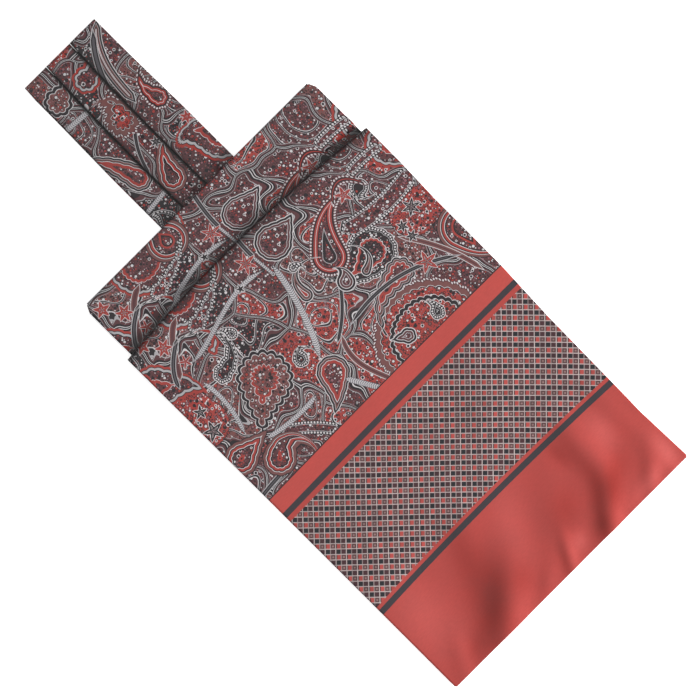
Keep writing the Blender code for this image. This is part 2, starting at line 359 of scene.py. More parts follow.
# %% Front blade's rows
LOW_ROW = REST + SILK + 0.75 * MM     # it lies on the rear blade, with a little air
over_centre, over_side = UNDER_CENTRE + 2 * ROLL_RADIUS, UNDER_SIDE + 2 * ROLL_RADIUS
turn_at = BLADE_FOLD - REST - ROLL_RADIUS
W = BLADE_HALF
front_rows = (
    filled_in((
        (212 * MM, UNDER_CENTRE, UNDER_SIDE, W, W, 10),
        (turn_at, UNDER_CENTRE, UNDER_SIDE, W, W, 1),
    ))
    + turned_over(BLADE_FOLD, UNDER_CENTRE, UNDER_SIDE, ROLL_RADIUS, W)
    + filled_in((
        (turn_at, over_centre, over_side, W, W, 6),
        (226 * MM, over_centre - 0.5 * MM, over_side - 0.5 * MM, W, W, 10),
        (212 * MM, UNDER_CENTRE + 0.8 * LAYER, UNDER_SIDE + 0.8 * LAYER, W, W, 20),
        (184 * MM, SHOULDER_LOW + 0.6 * MM, SHOULDER_LOW, W, 83.4 * MM, 12),
        (168 * MM, SHOULDER_LOW, SHOULDER_LOW, W, 83.4 * MM, 22),
        (136 * MM, LOW_ROW, LOW_ROW, W, 83.4 * MM, 22),
        (100 * MM, LOW_ROW, LOW_ROW, W, 81.9 * MM, 26),
        (51 * MM, LOW_ROW, LOW_ROW, W, 81.2 * MM, 14),
        (33 * MM, LOW_ROW, LOW_ROW, W, 80.8 * MM, 26),
        (1.0 * MM, LOW_ROW, LOW_ROW, W, 81.9 * MM, 3),
        (0.0, LOW_ROW, LOW_ROW, W - 0.8 * MM, 81.1 * MM, 1),
    ))
)
FRONT_RUN = lengths_along(front_rows)[-1]
front_blade = sheet_through("front_blade_silk", front_rows, 150, front_shape, front_cloth,
                            front_painted_shade)

# %% [markdown]
# ## The rear blade's shoulder
# The rear blade carries the same print, a little further up. Its top edge is pressed flat over the
# neckband, its corners are blunt, and in front it sinks into the valley under the front blade's
# roll. The valley, with painted shade added in it, is what reads as the dark line across the cravat.
# Three low swells keep the stretch above it from looking ironed.

# %% Shoulder's rows
SHOULDER_HALF = 81.1 * MM
SHOULDER_FOLD = 269.7 * MM
FLAT_RADIUS = LAYER / 2
corner = SHOULDER_HALF - 2.4 * MM
shoulder_turn = SHOULDER_FOLD - REST - FLAT_RADIUS
low_c, low_s = SHOULDER_HIGH - LAYER, SHOULDER_LOW
high_c, high_s = SHOULDER_HIGH, SHOULDER_LOW + LAYER
H = SHOULDER_HALF
shoulder_rows = (
    filled_in((
        (247 * MM, low_c, low_s, H, H, 8),
        (265 * MM, low_c, low_s, H, H, 3),
        (shoulder_turn, low_c, low_s, corner + 0.6 * MM, corner + 0.6 * MM, 1),
    ))
    + turned_over(SHOULDER_FOLD, low_c, low_s, FLAT_RADIUS, corner)
    + filled_in((
        (shoulder_turn, high_c, high_s, corner + 0.6 * MM, corner + 0.6 * MM, 4),
        (265 * MM, high_c, high_s, H, H, 14),
        (250 * MM, high_c + 0.3 * MM, high_s + 0.3 * MM, H, H, 14),
        (238 * MM, low_c, low_s, H, H, 12),
        (221 * MM, low_c, low_s, H, H, 1),
    ))
)
SHOULDER_SWELLS = (
    (-48, 252, 24, 5, 0.5, 6),
    (8, 256, 20, 5, 0.45, -8),
    (52, 250, 22, 6, 0.5, 4),
)
print("shoulder of", len(shoulder_rows), "rows, turned over at", round(SHOULDER_FOLD / MM, 1), "mm")

# %% Shoulder's shape, print and painted shade
def shoulder_shape(across, along, height):
    """Bows the upper pass with the roll in front of it, and lifts it in its swells."""
    near_valley = eased((262 * MM - along) / (20 * MM)) if height > low_s + 0.1 * MM else 0.0
    lift = swell_height(across, along, SHOULDER_SWELLS) * eased((along - 240 * MM) / (8 * MM))
    return across, along + roll_bow(across) * near_valley, height + (lift if near_valley else 0.0)


PRINT_FURTHER_UP = 23.0 * MM
PRINT_ASIDE = 1.5 * MM
PRINT_TILT = 3.0 / 80


def shoulder_cloth(across, run):
    """The same print as the front blade's, but further up and a little askew."""
    along = SHOULDER_FOLD + SHOULDER_TURN_RUN - run
    return across + PRINT_ASIDE, along - PRINT_FURTHER_UP + PRINT_TILT * across


# distance above the front blade's roll, and how much painted shade darkens the silk there, in the middle
# and at the left
VALLEY_SHADE = ((0.0, 0.85), (1.0, 0.5), (2.0, 0.25), (4.0, 0.1), (6.0, 0.0))
LEFT_VALLEY_SHADE = ((0.0, 0.9), (1.5, 0.8), (3.0, 0.5), (5.0, 0.2), (9.0, 0.0))
TOP_EDGE_SHADE = ((0.0, 0.35), (1.5, 0.1), (3.0, 0.0))
LEFT_VALLEY_AT, LEFT_VALLEY_HALF = -62, 20     # mm


def shoulder_painted_shade(across, along, row):
    """Painted shade: dark in the valley, most at the left, and a little at the pressed top edge."""
    to_left = math.exp(-(((across / MM - LEFT_VALLEY_AT) / LEFT_VALLEY_HALF) ** 2))
    above = along - BLADE_FOLD
    plain = fading(above, VALLEY_SHADE)
    shade = plain + (fading(above, LEFT_VALLEY_SHADE) - plain) * to_left
    return max(shade, fading(SHOULDER_FOLD - along, TOP_EDGE_SHADE))


shoulder_run = lengths_along(shoulder_rows)
ROWS_BELOW_TURN = 11
SHOULDER_TURN_RUN = shoulder_run[ROWS_BELOW_TURN + FOLD_STEPS // 2]
shoulder = sheet_through("shoulder_silk", shoulder_rows, 130, shoulder_shape, shoulder_cloth,
                         shoulder_painted_shade)

# %% [markdown]
# ## The neckband's pleats
# The blade's width is pleated in to a third, and three strips of it show. Each runs on for 7 mm
# under its right-hand neighbour, so the print jumps at a pleat by twice that. Three narrow sheets
# are simpler than one sheet folded sideways, and each turns over the band's end by itself.

# %% Neckband's sizes and painted shade
BAND_INNER_END = 226.0 * MM
REAR_TOP = 257.0 * MM
PLEAT_LAP = 7.0 * MM
LAP_SLOPE = 5.5 * MM
PLEAT_BOW = 1.6 * MM
PLEAT_LINES = (-8.6 * MM, 8.2 * MM)
TURN_LENGTH = 4.0 * MM
UPPER_ROWS, UNDER_ROWS = 60, 24
STRIP_COLUMNS = 44
PLEAT_GAP = 0.3 * MM
# distance in mm from an edge, and how much painted shade darkens the silk there: beside a pleat, under
# it, at the side
PLEAT_SHADE = ((0.0, 0.97), (0.5, 0.9), (1.1, 0.45), (2.2, 0.24), (7.0, 0.1))
UNDER_PLEAT_SHADE = ((-0.5, 0.97), (0.4, 0.9), (0.9, 0.2), (1.6, 0.0))
EDGE_SHADE = ((0.0, 0.5), (1.5, 0.2), (4.0, 0.0))
# painted shade beside the shoulder's top edge, and a little painted shade over the whole band
BESIDE_BLADE_SHADE = ((0.0, 0.7), (1.2, 0.3), (3.5, 0.0))
BAND_SHADE = 0.1


def band_path(step, high):
    """Along and height of a strip's middle after so many steps, where its upper pass is this high."""
    radius = (high - REST) / 2
    turn_from = LENGTH - TURN_LENGTH
    turned = step - UPPER_ROWS
    if turned < 0:
        return BAND_INNER_END + (turn_from - BAND_INNER_END) * step / (UPPER_ROWS - 1), high
    if turned <= FOLD_STEPS:
        angle = math.pi * turned / FOLD_STEPS
        along = LENGTH - REST - radius + radius * math.sin(angle)
        return along, REST + radius * (1.0 + math.cos(angle))
    back = (turned - FOLD_STEPS) / UNDER_ROWS
    return turn_from + (REAR_TOP + PLEAT_GAP - turn_from) * back, REST


print("strips lie", round(BAND_HIGH / MM, 2), "mm up, and", round(LAP_HIGH / MM, 2), "mm where they lap")

# %% Neckband's strips
def pleat_strip(number, name, left_edge, right_edge):
    """One strip, bowed as the pleats are, over the band's end and back on its underside."""
    last_row = UPPER_ROWS + FOLD_STEPS + UNDER_ROWS
    laps_over, laps_under = number > 0, number < 2

    def place(row, column):
        flat_along = band_path(row, BAND_HIGH)[0]
        progress = (flat_along - BAND_INNER_END) / (LENGTH - BAND_INNER_END)
        bow = PLEAT_BOW * 4.0 * progress * (1.0 - progress) if row < UPPER_ROWS else 0.0
        narrower = 0.7 * MM * eased((progress - 0.5) / 0.4)
        left = left_edge + PLEAT_GAP / 2 - bow if laps_over else left_edge + narrower
        right = right_edge - PLEAT_GAP / 2 - bow if laps_under else right_edge - narrower
        if laps_under and row < UPPER_ROWS - 1:
            right += PLEAT_LAP * eased((UPPER_ROWS - 1 - row) / 8)
        elif row > UPPER_ROWS + FOLD_STEPS and not laps_over:
            left -= 0.5 * MM
        across = left + (right - left) * column
        lift = 0.0
        if laps_over:
            off_lap = (across - left - PLEAT_LAP - PLEAT_GAP) / LAP_SLOPE
            lift = (LAP_HIGH - BAND_HIGH) * (1.0 - eased(off_lap))
        along, height = band_path(row, BAND_HIGH + lift)
        past_end = 2 * (LENGTH - along) if row > UPPER_ROWS else 0.0
        cloth = (across + 2 * PLEAT_LAP * (number - 1), along + past_end)
        # painted shade: dark lines at the pleats and the strip's edges, beside the shoulder's top edge,
        # and a little all over
        from_left, from_right = across - left, right_edge - PLEAT_GAP / 2 - bow - across
        depth = fading(from_left, PLEAT_SHADE) if laps_over else fading(from_left, EDGE_SHADE)
        if laps_under:
            depth = max(depth, fading(from_right, UNDER_PLEAT_SHADE))
        depth = max(depth, BAND_SHADE)
        if row < UPPER_ROWS:
            depth = max(depth, fading(along - SHOULDER_FOLD, BESIDE_BLADE_SHADE))
        return Vector((across, HEM + along, height)), cloth, depth

    return bent_grid(name, last_row, STRIP_COLUMNS, place)


band_left, band_right = NECKBAND_CENTRE - NECKBAND_HALF, NECKBAND_CENTRE + NECKBAND_HALF
edges = (band_left, *PLEAT_LINES, band_right)
strips = [
    pleat_strip(number, "pleat_silk_" + side, edges[number], edges[number + 1])
    for number, side in enumerate(("left", "middle", "right"))
]
print("neckband of", len(strips), "strips,", round((band_right - band_left) / MM), "mm wide")

# %% [markdown]
# ## The rear blade and the folds between
# The rear blade lies flat on the surface, its print facing down. Between the blades three more
# layers show only at their edges, so they are three plain sheets with a notch where the neckband
# comes in. The folds that nobody sees could be modelled too, but they would only cost points.

# %% Rear blade
REAR_HALF = 80.5 * MM
rear_rows = filled_in((
    (REAR_TOP, REST, REST, REAR_HALF - 5 * MM, REAR_HALF - 5 * MM, 10),
    (240 * MM, REST, REST, REAR_HALF, REAR_HALF, 60),
    (1.4 * MM, REST, REST, REAR_HALF, REAR_HALF, 1),
))


def as_it_lies(across, along, height):
    """No change of shape."""
    return across, along, height


def rear_cloth(across, run):
    """The print is mirrored, as this blade faces the other way."""
    return -across, REAR_TOP - run


def no_painted_shade(across, along, row):
    """No painted shade."""
    return 0.0


rear_blade = sheet_through("rear_blade_silk", rear_rows, 40, as_it_lies, rear_cloth, no_painted_shade)

# %% Inner layers
HIDDEN_LOW, HIDDEN_HIGH = (corner_point[2] for corner_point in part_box("hidden_folds"))
HIDDEN_HALF = 79.6 * MM
HIDDEN_FROM, HIDDEN_TO = 172 * MM, 262 * MM
NOTCH_HALF = 27.1 * MM
HIDDEN_CORNER = 8 * MM
INSETS = (0.4 * MM, 0.0, 0.9 * MM)     # the layers' edges never lie quite on each other
INNER_ROWS, INNER_COLUMNS = 30, 31
# painted shade: the inner layers are darkened all over, as they lie between the blades
INNER_SHADE = 0.4
INNER_PRINT_UP = 31 * MM


def inner_layer(number, name, height):
    """A sheet round three sides of the neckband, with rounded corners."""
    inset = INSETS[number]

    def place(row, column):
        along = HIDDEN_FROM + inset + (HIDDEN_TO - HIDDEN_FROM - 2 * inset) * row / INNER_ROWS
        half = HIDDEN_HALF - inset
        to_end = min(along - HIDDEN_FROM - inset, HIDDEN_TO - inset - along)
        if to_end < HIDDEN_CORNER:
            short_of = HIDDEN_CORNER - max(to_end, 0.0)
            half -= HIDDEN_CORNER - math.sqrt(HIDDEN_CORNER ** 2 - short_of ** 2)
        inner = NOTCH_HALF if along > BAND_INNER_END - 3 * MM else 0.5 * MM
        side = -1.0 if column < 0.5 else 1.0
        share = abs(column - 0.5) * 2.0
        across = side * (inner + (half - inner) * share) + NECKBAND_CENTRE * (1.0 - share)
        return Vector((across, HEM + along, height)), (across, along + INNER_PRINT_UP), INNER_SHADE

    return bent_grid(name, INNER_ROWS, INNER_COLUMNS, place)


inner_layers = [
    inner_layer(number, "inner_fold_silk_" + word, HIDDEN_LOW + (0.3 + 0.5 * number) * MM)
    for number, word in enumerate(("lower", "middle", "upper"))
]
print("inner layers between", round(HIDDEN_LOW / MM, 1), "and", round(HIDDEN_HIGH / MM, 1), "mm up")

# %% [markdown]
# ## Short names for wiring
# Shader nodes written out one by one make long scripts. A small class gives each kind of node one
# short call, in which any input may be a plain number or another node's output. The nodes are still
# ordinary ones that can be opened and read in the shader editor.

# %% Wiring helpers
SILK_TAKES = 0.56     # ink on silk gives back this much of the light that it does on white paper


def ink(hex_colour):
    """A colour given as on paper, turned into the linear one that Blender works in."""
    def linear(value):
        return value / 12.92 if value <= 0.04045 else ((value + 0.055) / 1.055) ** 2.4
    channels = (int(hex_colour[at:at + 2], 16) / 255 for at in (0, 2, 4))
    return tuple(SILK_TAKES * linear(channel) for channel in channels) + (1.0,)


print("white ink gives back", round(ink("FFFFFF")[0], 2), "of the light")


# %% Wiring: one short call for each kind of node
class Wiring:
    """Makes nodes in one tree. An input may be a number, a tuple or another node's output."""

    def __init__(self, tree):
        self.tree = tree

    def node(self, kind, inputs, out=0, **settings):
        made = self.tree.nodes.new(kind)
        for name, value in settings.items():
            setattr(made, name, value)
        for place, value in inputs.items():
            if isinstance(value, bpy.types.NodeSocket):
                self.tree.links.new(value, made.inputs[place])
            else:
                made.inputs[place].default_value = value
        return made.outputs[out]

    def math(self, operation, *values, clamp=False):
        return self.node("ShaderNodeMath", dict(enumerate(values)), operation=operation, use_clamp=clamp)

    def vector(self, operation, *values, out=0):
        return self.node("ShaderNodeVectorMath", dict(enumerate(values)), out, operation=operation)

    def scaled(self, vector, factor):
        return self.node("ShaderNodeVectorMath", {0: vector, 3: factor}, operation="SCALE")

    def length(self, vector):
        return self.vector("LENGTH", vector, out=1)

    def dot(self, vector, direction):
        return self.vector("DOT_PRODUCT", vector, direction, out=1)

    def join(self, x, y, z=0.0):
        return self.node("ShaderNodeCombineXYZ", {0: x, 1: y, 2: z})

    def parts(self, vector):
        return self.node("ShaderNodeSeparateXYZ", {0: vector}).node.outputs

    def turned(self, vector, angle):
        return self.node("ShaderNodeVectorRotate", {0: vector, "Angle": angle}, rotation_type="Z_AXIS")

    def mixed(self, share, first, second):
        return self.node("ShaderNodeMix", {0: share, 6: first, 7: second}, 2, data_type="RGBA")

    def picked(self, share, first, second):
        return self.node("ShaderNodeMix", {0: share, 4: first, 5: second}, 1, data_type="VECTOR")

    def blended(self, share, first, second):
        return self.node("ShaderNodeMix", {0: share, 2: first, 3: second}, 0, data_type="FLOAT")

    def stepped(self, value, stops, out=0, smooth=False):
        """A colour ramp of plain steps: stops are (from, colour)."""
        made = self.node("ShaderNodeValToRGB", {0: value}, out)
        ramp = made.node.color_ramp
        ramp.interpolation = "LINEAR" if smooth else "CONSTANT"
        while len(ramp.elements) < len(stops):
            ramp.elements.new(1.0)
        for element, (start, colour) in zip(ramp.elements, sorted(stops)):
            element.position = start
        for element, (start, colour) in zip(ramp.elements, sorted(stops)):
            element.color = colour
        return made

    def cells(self, vector, size, randomness=1.0, feature="F1"):
        """Voronoi cells of about this size, in the vector's own unit. Gives distance and colour."""
        inputs = {"Vector": self.scaled(vector, 1.0 / size), "Scale": 1.0, "Randomness": randomness}
        made = self.node("ShaderNodeTexVoronoi", inputs, voronoi_dimensions="2D", feature=feature).node
        return self.math("MULTIPLY", made.outputs["Distance"], size), made.outputs.get("Color")

    def noise(self, vector, size, detail=2.0, out=0):
        return self.node("ShaderNodeTexNoise", {"Vector": self.scaled(vector, 1.0 / size), "Scale": 1.0,
                         "Detail": detail}, out, noise_dimensions="2D")


print("kinds of node with a short name:", ", ".join(name for name in vars(Wiring) if name[0] != "_"))


# %% Node groups with named sockets
def new_group(name, inputs, outputs):
    """An empty node group with named sockets. Returns its wiring, its inputs by name, and its exit."""
    kinds = {"F": "NodeSocketFloat", "V": "NodeSocketVector", "C": "NodeSocketColor"}
    tree = bpy.data.node_groups.new(name, "ShaderNodeTree")
    for socket, kind in inputs:
        tree.interface.new_socket(socket, in_out="INPUT", socket_type=kinds[kind])
    for socket, kind in outputs:
        tree.interface.new_socket(socket, in_out="OUTPUT", socket_type=kinds[kind])
    entry = tree.nodes.new("NodeGroupInput")
    leave = tree.nodes.new("NodeGroupOutput")
    return Wiring(tree), {socket: entry.outputs[socket] for socket, kind in inputs}, leave


def put(wiring, leave, **values):
    """Feeds a group's outputs."""
    for name, value in values.items():
        wiring.tree.links.new(value, leave.inputs[name.replace("_", " ")])


def use(wiring, group_name, **values):
    """Places a node group. Underscores in an input's name stand for spaces."""
    made = wiring.tree.nodes.new("ShaderNodeGroup")
    made.node_tree = bpy.data.node_groups[group_name]
    for name, value in values.items():
        socket = made.inputs[name.replace("_", " ")]
        if isinstance(value, bpy.types.NodeSocket):
            wiring.tree.links.new(value, socket)
        else:
            socket.default_value = value
    return made.outputs


print("sockets are made with interface.new_socket, as", bpy.app.version_string, "asks")

# %% [markdown]
# ## Drawing a motif as a distance
# A paisley motif, or boteh, is a teardrop with a curling tip, ringed by lines that all follow its
# outline. Drawing each ring would be endless. Instead a group measures how deep a point of cloth
# lies inside the teardrop and how far round it lies. Every ring, bead and scallop then comes from
# those two numbers. A picture texture could hold the print too, but it blurs up close.
# Each motif hands on a vector of depth, way round and kind, and the last motif that covers a point
# wins, as with screens printed one over another.

# %% What every motif group shares
TILE = (184.0, 146.0, 1.0)      # the print repeats after this many mm across and along
HALF_TILE = tuple(side / 2 for side in TILE)
MINUS_HALF_TILE = tuple(-side / 2 for side in TILE)


def from_centre(w, given):
    """The way from the motif's centre to this point of cloth, in the nearest repeat."""
    away = w.vector("SUBTRACT", given["Cloth"], given["Centre"])
    return w.vector("WRAP", away, HALF_TILE, MINUS_HALF_TILE)


def hand_on(w, given, leave, depth, around):
    """Outputs this motif where it covers the cloth, and what came before elsewhere."""
    here = w.join(depth, around, given["Kind"])
    covers = w.math("GREATER_THAN", depth, 0.0)
    put(w, leave, After=w.picked(covers, given["Before"], here))


print("the print repeats every", TILE[0], "by", TILE[1], "mm")

# %% Boteh: a teardrop between a large and a small circle, its tip curled by a swirl
LOBES_PER_MM = 0.58
w, given, leave = new_group(
    "Boteh",
    [("Cloth", "V"), ("Centre", "V"), ("Axis", "V"), ("Side", "V"), ("Length", "F"), ("Body", "F"),
     ("Tip", "F"), ("Curl", "F"), ("Scallop", "F"), ("Kind", "F"), ("Before", "V")],
    [("After", "V")],
)
away = from_centre(w, given)
reach = w.math("DIVIDE", w.length(away), given["Length"])
swirl = w.math("MULTIPLY", w.math("MULTIPLY", reach, reach), given["Curl"])
to_axis, to_side = w.dot(away, given["Axis"]), w.dot(away, given["Side"])
cosine, sine = w.math("COSINE", swirl), w.math("SINE", swirl)
x = w.math("MULTIPLY_ADD", to_axis, cosine, w.math("MULTIPLY", to_side, sine))
y = w.math("SUBTRACT", w.math("MULTIPLY", to_side, cosine), w.math("MULTIPLY", to_axis, sine))
y = w.math("ABSOLUTE", y)
narrowing = w.math("SUBTRACT", given["Body"], given["Tip"])
slope = w.math("DIVIDE", narrowing, given["Length"])
up_side = w.math("SUBTRACT", x, w.math("MULTIPLY", slope, y))
to_tip = w.math("DIVIDE", up_side, given["Length"], clamp=True)
middle = w.math("MULTIPLY", to_tip, given["Length"])
beside = w.math("SUBTRACT", x, middle)
radius = w.math("SUBTRACT", given["Body"], w.math("MULTIPLY", to_tip, narrowing))
depth = w.math("SUBTRACT", radius, w.length(w.join(beside, y)))
angle = w.math("ARCTAN2", y, w.math("MULTIPLY", beside, -1.0))
around = w.math("MULTIPLY_ADD", angle, given["Body"], middle)
lobe = w.math("ABSOLUTE", w.math("SINE", w.math("MULTIPLY", around, LOBES_PER_MM)))
lobe = w.math("MULTIPLY_ADD", lobe, 2.0, -1.2)
depth = w.math("MULTIPLY_ADD", lobe, given["Scallop"], depth)
hand_on(w, given, leave, depth, around)
print("boteh of", len(w.tree.nodes), "nodes")

# %% Ribbon: a bowed band that narrows to both ends
ENDS_NARROW = 2.5
w, given, leave = new_group(
    "Ribbon",
    [("Cloth", "V"), ("Centre", "V"), ("Axis", "V"), ("Side", "V"), ("Half length", "F"),
     ("Half width", "F"), ("Bow", "F"), ("Sway", "F"), ("Kind", "F"), ("Before", "V")],
    [("After", "V")],
)
away = from_centre(w, given)
x, y = w.dot(away, given["Axis"]), w.dot(away, given["Side"])
along_it = w.math("DIVIDE", x, given["Half length"])
from_end = w.math("SUBTRACT", 1.0, w.math("MULTIPLY", along_it, along_it))
bends = w.math("MULTIPLY_ADD", along_it, given["Sway"], given["Bow"])
off_line = w.math("ABSOLUTE", w.math("SUBTRACT", y, w.math("MULTIPLY", from_end, bends)))
tapers = w.math("MULTIPLY", from_end, ENDS_NARROW, clamp=True)
depth = w.math("SUBTRACT", w.math("MULTIPLY", given["Half width"], tapers), off_line)
hand_on(w, given, leave, depth, x)
print("ribbon of", len(w.tree.nodes), "nodes")

# %% Flower: a circle notched between its petals
w, given, leave = new_group(
    "Flower",
    [("Cloth", "V"), ("Centre", "V"), ("Turn", "F"), ("Radius", "F"), ("Petals", "F"), ("Notch", "F"),
     ("Kind", "F"), ("Before", "V")],
    [("After", "V")],
)
away = from_centre(w, given)
x, y = w.dot(away, (1.0, 0.0, 0.0)), w.dot(away, (0.0, 1.0, 0.0))
angle = w.math("ADD", w.math("ARCTAN2", y, x), given["Turn"])
half_turns = w.math("MULTIPLY", angle, w.math("MULTIPLY", given["Petals"], 0.5))
between = w.math("ABSOLUTE", w.math("SINE", half_turns))
petal = w.math("SUBTRACT", 1.0, w.math("MULTIPLY", given["Notch"], between))
depth = w.math("SUBTRACT", w.math("MULTIPLY", petal, given["Radius"]), w.length(away))
hand_on(w, given, leave, depth, w.math("MULTIPLY", angle, given["Radius"]))
print("motif groups:", ", ".join(group.name for group in bpy.data.node_groups))

# %% [markdown]
# ## The print's inks
# The print has few inks: a maroon ground, charcoal, coral, a dusty brown and off-white. Screens of
# two inks side by side give every other tone. Each kind of motif has its own order of rings from
# the outline inwards, written as a list of (start in mm, ink). The word "small" means that the
# fine all-over florets show there, on the ground ink that is named for the kind.

# %% Inks and rings
INKS = {
    "charcoal": ink("322C30"),
    "slate": ink("6A666C"),
    "maroon": ink("6E4347"),
    "brown": ink("8C5A58"),
    "coral": ink("C04A44"),
    "rose": ink("A87078"),
    "grey": ink("CFCBCE"),
    "silver": ink("E4E1E5"),
    "white": ink("FBF6F8"),
    "small": (0.0, 0.0, 0.0, 0.0),
}
DEEPEST = 16.0     # mm, the depth at which the last ring has long begun
# kind: (ground ink, depth of a row of beads or 0, rings from the outline inwards)
KINDS = {
    "beaded coral": ("maroon", 0.85, ((0, "maroon"), (1.6, "charcoal"), (2.3, "coral"), (3.2, "white"),
                                      (3.5, "coral"), (4.3, "charcoal"), (4.8, "small"), (6.6, "grey"),
                                      (6.9, "charcoal"), (8.2, "small"))),
    "maroon rings": ("maroon", 0, ((0, "white"), (0.4, "charcoal"), (1.5, "white"), (1.8, "maroon"),
                                   (2.8, "grey"), (3.1, "small"))),
    "coral leaf": ("maroon", 0, ((0, "white"), (0.35, "charcoal"), (1.2, "grey"), (1.5, "brown"),
                                 (2.1, "charcoal"), (2.5, "white"), (2.8, "coral"), (4.2, "small"))),
    "dark beaded": ("charcoal", 1.3, ((0, "white"), (0.35, "charcoal"), (2.2, "grey"),
                                      (2.5, "charcoal"), (3.2, "small"), (6.0, "white"),
                                      (6.3, "coral"), (7.4, "charcoal"), (8.0, "small"))),
    "white lace": ("maroon", 0, ((0, "coral"), (1.1, "charcoal"), (1.5, "grey"), (2.6, "charcoal"),
                                 (3.1, "small"), (7.2, "white"), (7.5, "coral"), (9.0, "small"))),
    "braid": ("silver", 0, ((0, "slate"), (0.22, "silver"))),
    "dark flower": ("charcoal", 0, ((0, "white"), (0.45, "charcoal"), (2.6, "white"), (3.0, "maroon"))),
    "coral flower": ("coral", 0, ((0, "white"), (0.4, "coral"), (2.7, "charcoal"), (3.3, "white"),
                                  (3.8, "charcoal"))),
    "great": ("coral", 0.9, ((0, "maroon"), (1.7, "brown"), (4.2, "white"), (4.5, "charcoal"),
                             (5.0, "small"), (8.8, "white"), (9.1, "charcoal"), (11.0, "white"),
                             (11.3, "small"))),
    "flower row": ("maroon", 0.8, ((0, "charcoal"), (1.5, "grey"), (1.8, "small"))),
    "stem": ("brown", 0, ((0, "white"), (0.3, "brown"), (1.1, "maroon"))),
    "dark stem": ("charcoal", 0, ((0, "grey"), (0.4, "charcoal"), (1.1, "slate"))),
    "coral ground": ("coral", 0, ((0, "charcoal"), (0.3, "small"))),
    "ringed coral": ("maroon", 0, ((0, "charcoal"), (0.5, "brown"), (1.9, "white"), (2.2, "charcoal"),
                                   (2.8, "coral"), (4.0, "white"), (4.3, "charcoal"), (5.0, "small"),
                                   (7.6, "coral"), (8.6, "charcoal"), (9.3, "small"))),
    "rosette": ("brown", 0, ((0, "white"), (0.35, "charcoal"), (2.0, "white"), (2.35, "brown"),
                             (3.2, "small"), (7.5, "white"), (7.8, "coral"), (9.3, "small"))),
}
KIND_NUMBER = {kind: number for number, kind in enumerate(KINDS, start=1)}
KIND_COUNT = len(KINDS) + 1     # kind 0 is bare ground
print(len(KINDS), "kinds of motif in", len(INKS) - 1, "inks")

# %% [markdown]
# ## Florets, and the ground between motifs
# Close up, every part of such a print is filled with tiny florets, seeds and dots. Voronoi cells
# give them: each cell is one floret, and the cell's random colour picks its ink and size. The same
# texture at a larger size, bent by soft noise, divides the ground into leaf-shaped fields whose
# borders are drawn with fine double lines.

# %% Florets
FLORET_SIZE, SEED_SIZE = 2.5, 1.2
w, given, leave = new_group("Florets", [("Cloth", "V"), ("Ground", "C")], [("Colour", "C")])
cloth = given["Cloth"]
near, chance = w.cells(cloth, FLORET_SIZE, 0.9)
pick, size, _ = w.parts(chance)
dot = w.math("MULTIPLY_ADD", size, 0.5, 0.25)
around_dot = w.math("ADD", dot, 0.3)
dot_ink = w.stepped(pick, ((0.0, INKS["white"]), (0.18, INKS["coral"]), (0.36, INKS["charcoal"]),
                           (0.68, INKS["rose"]), (0.84, INKS["brown"])))
ring_ink = w.stepped(pick, ((0.0, INKS["charcoal"]), (0.42, INKS["white"]), (0.53, INKS["maroon"]),
                            (0.66, INKS["charcoal"])))
tiny, tiny_chance = w.cells(cloth, SEED_SIZE, 0.95)
tiny_pick, tiny_size, _ = w.parts(tiny_chance)
tiny_ink = w.stepped(tiny_pick, ((0.0, INKS["white"]), (0.17, INKS["charcoal"]), (0.60, INKS["coral"]),
                                 (0.76, INKS["maroon"]), (0.88, INKS["rose"])))
speck = w.math("LESS_THAN", tiny, w.math("MULTIPLY_ADD", tiny_size, 0.3, 0.2))
colour = w.mixed(speck, given["Ground"], tiny_ink)
colour = w.mixed(w.math("LESS_THAN", near, around_dot), colour, ring_ink)
colour = w.mixed(w.math("LESS_THAN", near, dot), colour, dot_ink)
put(w, leave, Colour=colour)
print("florets of", FLORET_SIZE, "mm and seeds of", SEED_SIZE, "mm")

# %% Fields
FIELD_SIZE, DRIFT, RING_EVERY = 27.0, 26.0, 5.6
w, given, leave = new_group("Fields", [("Cloth", "V")], [("Colour", "C")])
cloth = given["Cloth"]
drift = w.vector("SUBTRACT", w.noise(cloth, DRIFT, 1.0, out=1), (0.5, 0.5, 0.5))
bent = w.vector("MULTIPLY_ADD", drift, (DRIFT, DRIFT, 0.0), cloth)
edge, _ = w.cells(bent, FIELD_SIZE, 1.0, "DISTANCE_TO_EDGE")
from_middle, field = w.cells(bent, FIELD_SIZE, 1.0)
pick, second, _ = w.parts(field)
ground = w.stepped(pick, ((0.0, INKS["coral"]), (0.14, INKS["maroon"]), (0.55, INKS["brown"]),
                          (0.72, INKS["charcoal"]), (0.84, INKS["maroon"])))
small = use(w, "Florets", Cloth=cloth, Ground=ground)[0]
ring = w.math("MODULO", from_middle, RING_EVERY)
inner_line = w.stepped(w.math("DIVIDE", ring, DEEPEST), (
    (0.0, INKS["white"]), (0.28 / DEEPEST, INKS["charcoal"]), (1.0 / DEEPEST, INKS["grey"]),
    (1.25 / DEEPEST, INKS["small"])))
lined = w.math("GREATER_THAN", second, 0.4)
has_line = w.math("MULTIPLY", lined, inner_line.node.outputs[1])
small = w.mixed(has_line, small, inner_line)
outline = w.stepped(w.math("DIVIDE", edge, DEEPEST), (
    (0.0, INKS["charcoal"]), (0.25 / DEEPEST, INKS["white"]), (0.5 / DEEPEST, INKS["charcoal"]),
    (1.1 / DEEPEST, INKS["maroon"]), (1.7 / DEEPEST, INKS["grey"]), (1.9 / DEEPEST, INKS["small"])))
put(w, leave, Colour=w.mixed(outline.node.outputs[1], small, outline))
print("fields of", FIELD_SIZE, "mm, some ringed every", RING_EVERY, "mm")

# %% [markdown]
# ## From depth and kind to ink
# This group reads the vector that the motifs hand on. It looks the depth up in the rings of every
# kind and keeps the rings of the kind that is there. Mixing ready colours for each motif would
# need the same rings many times over. A row of beads follows the outline at the kind's own depth,
# and a braid gets the slanting lines of its plait.

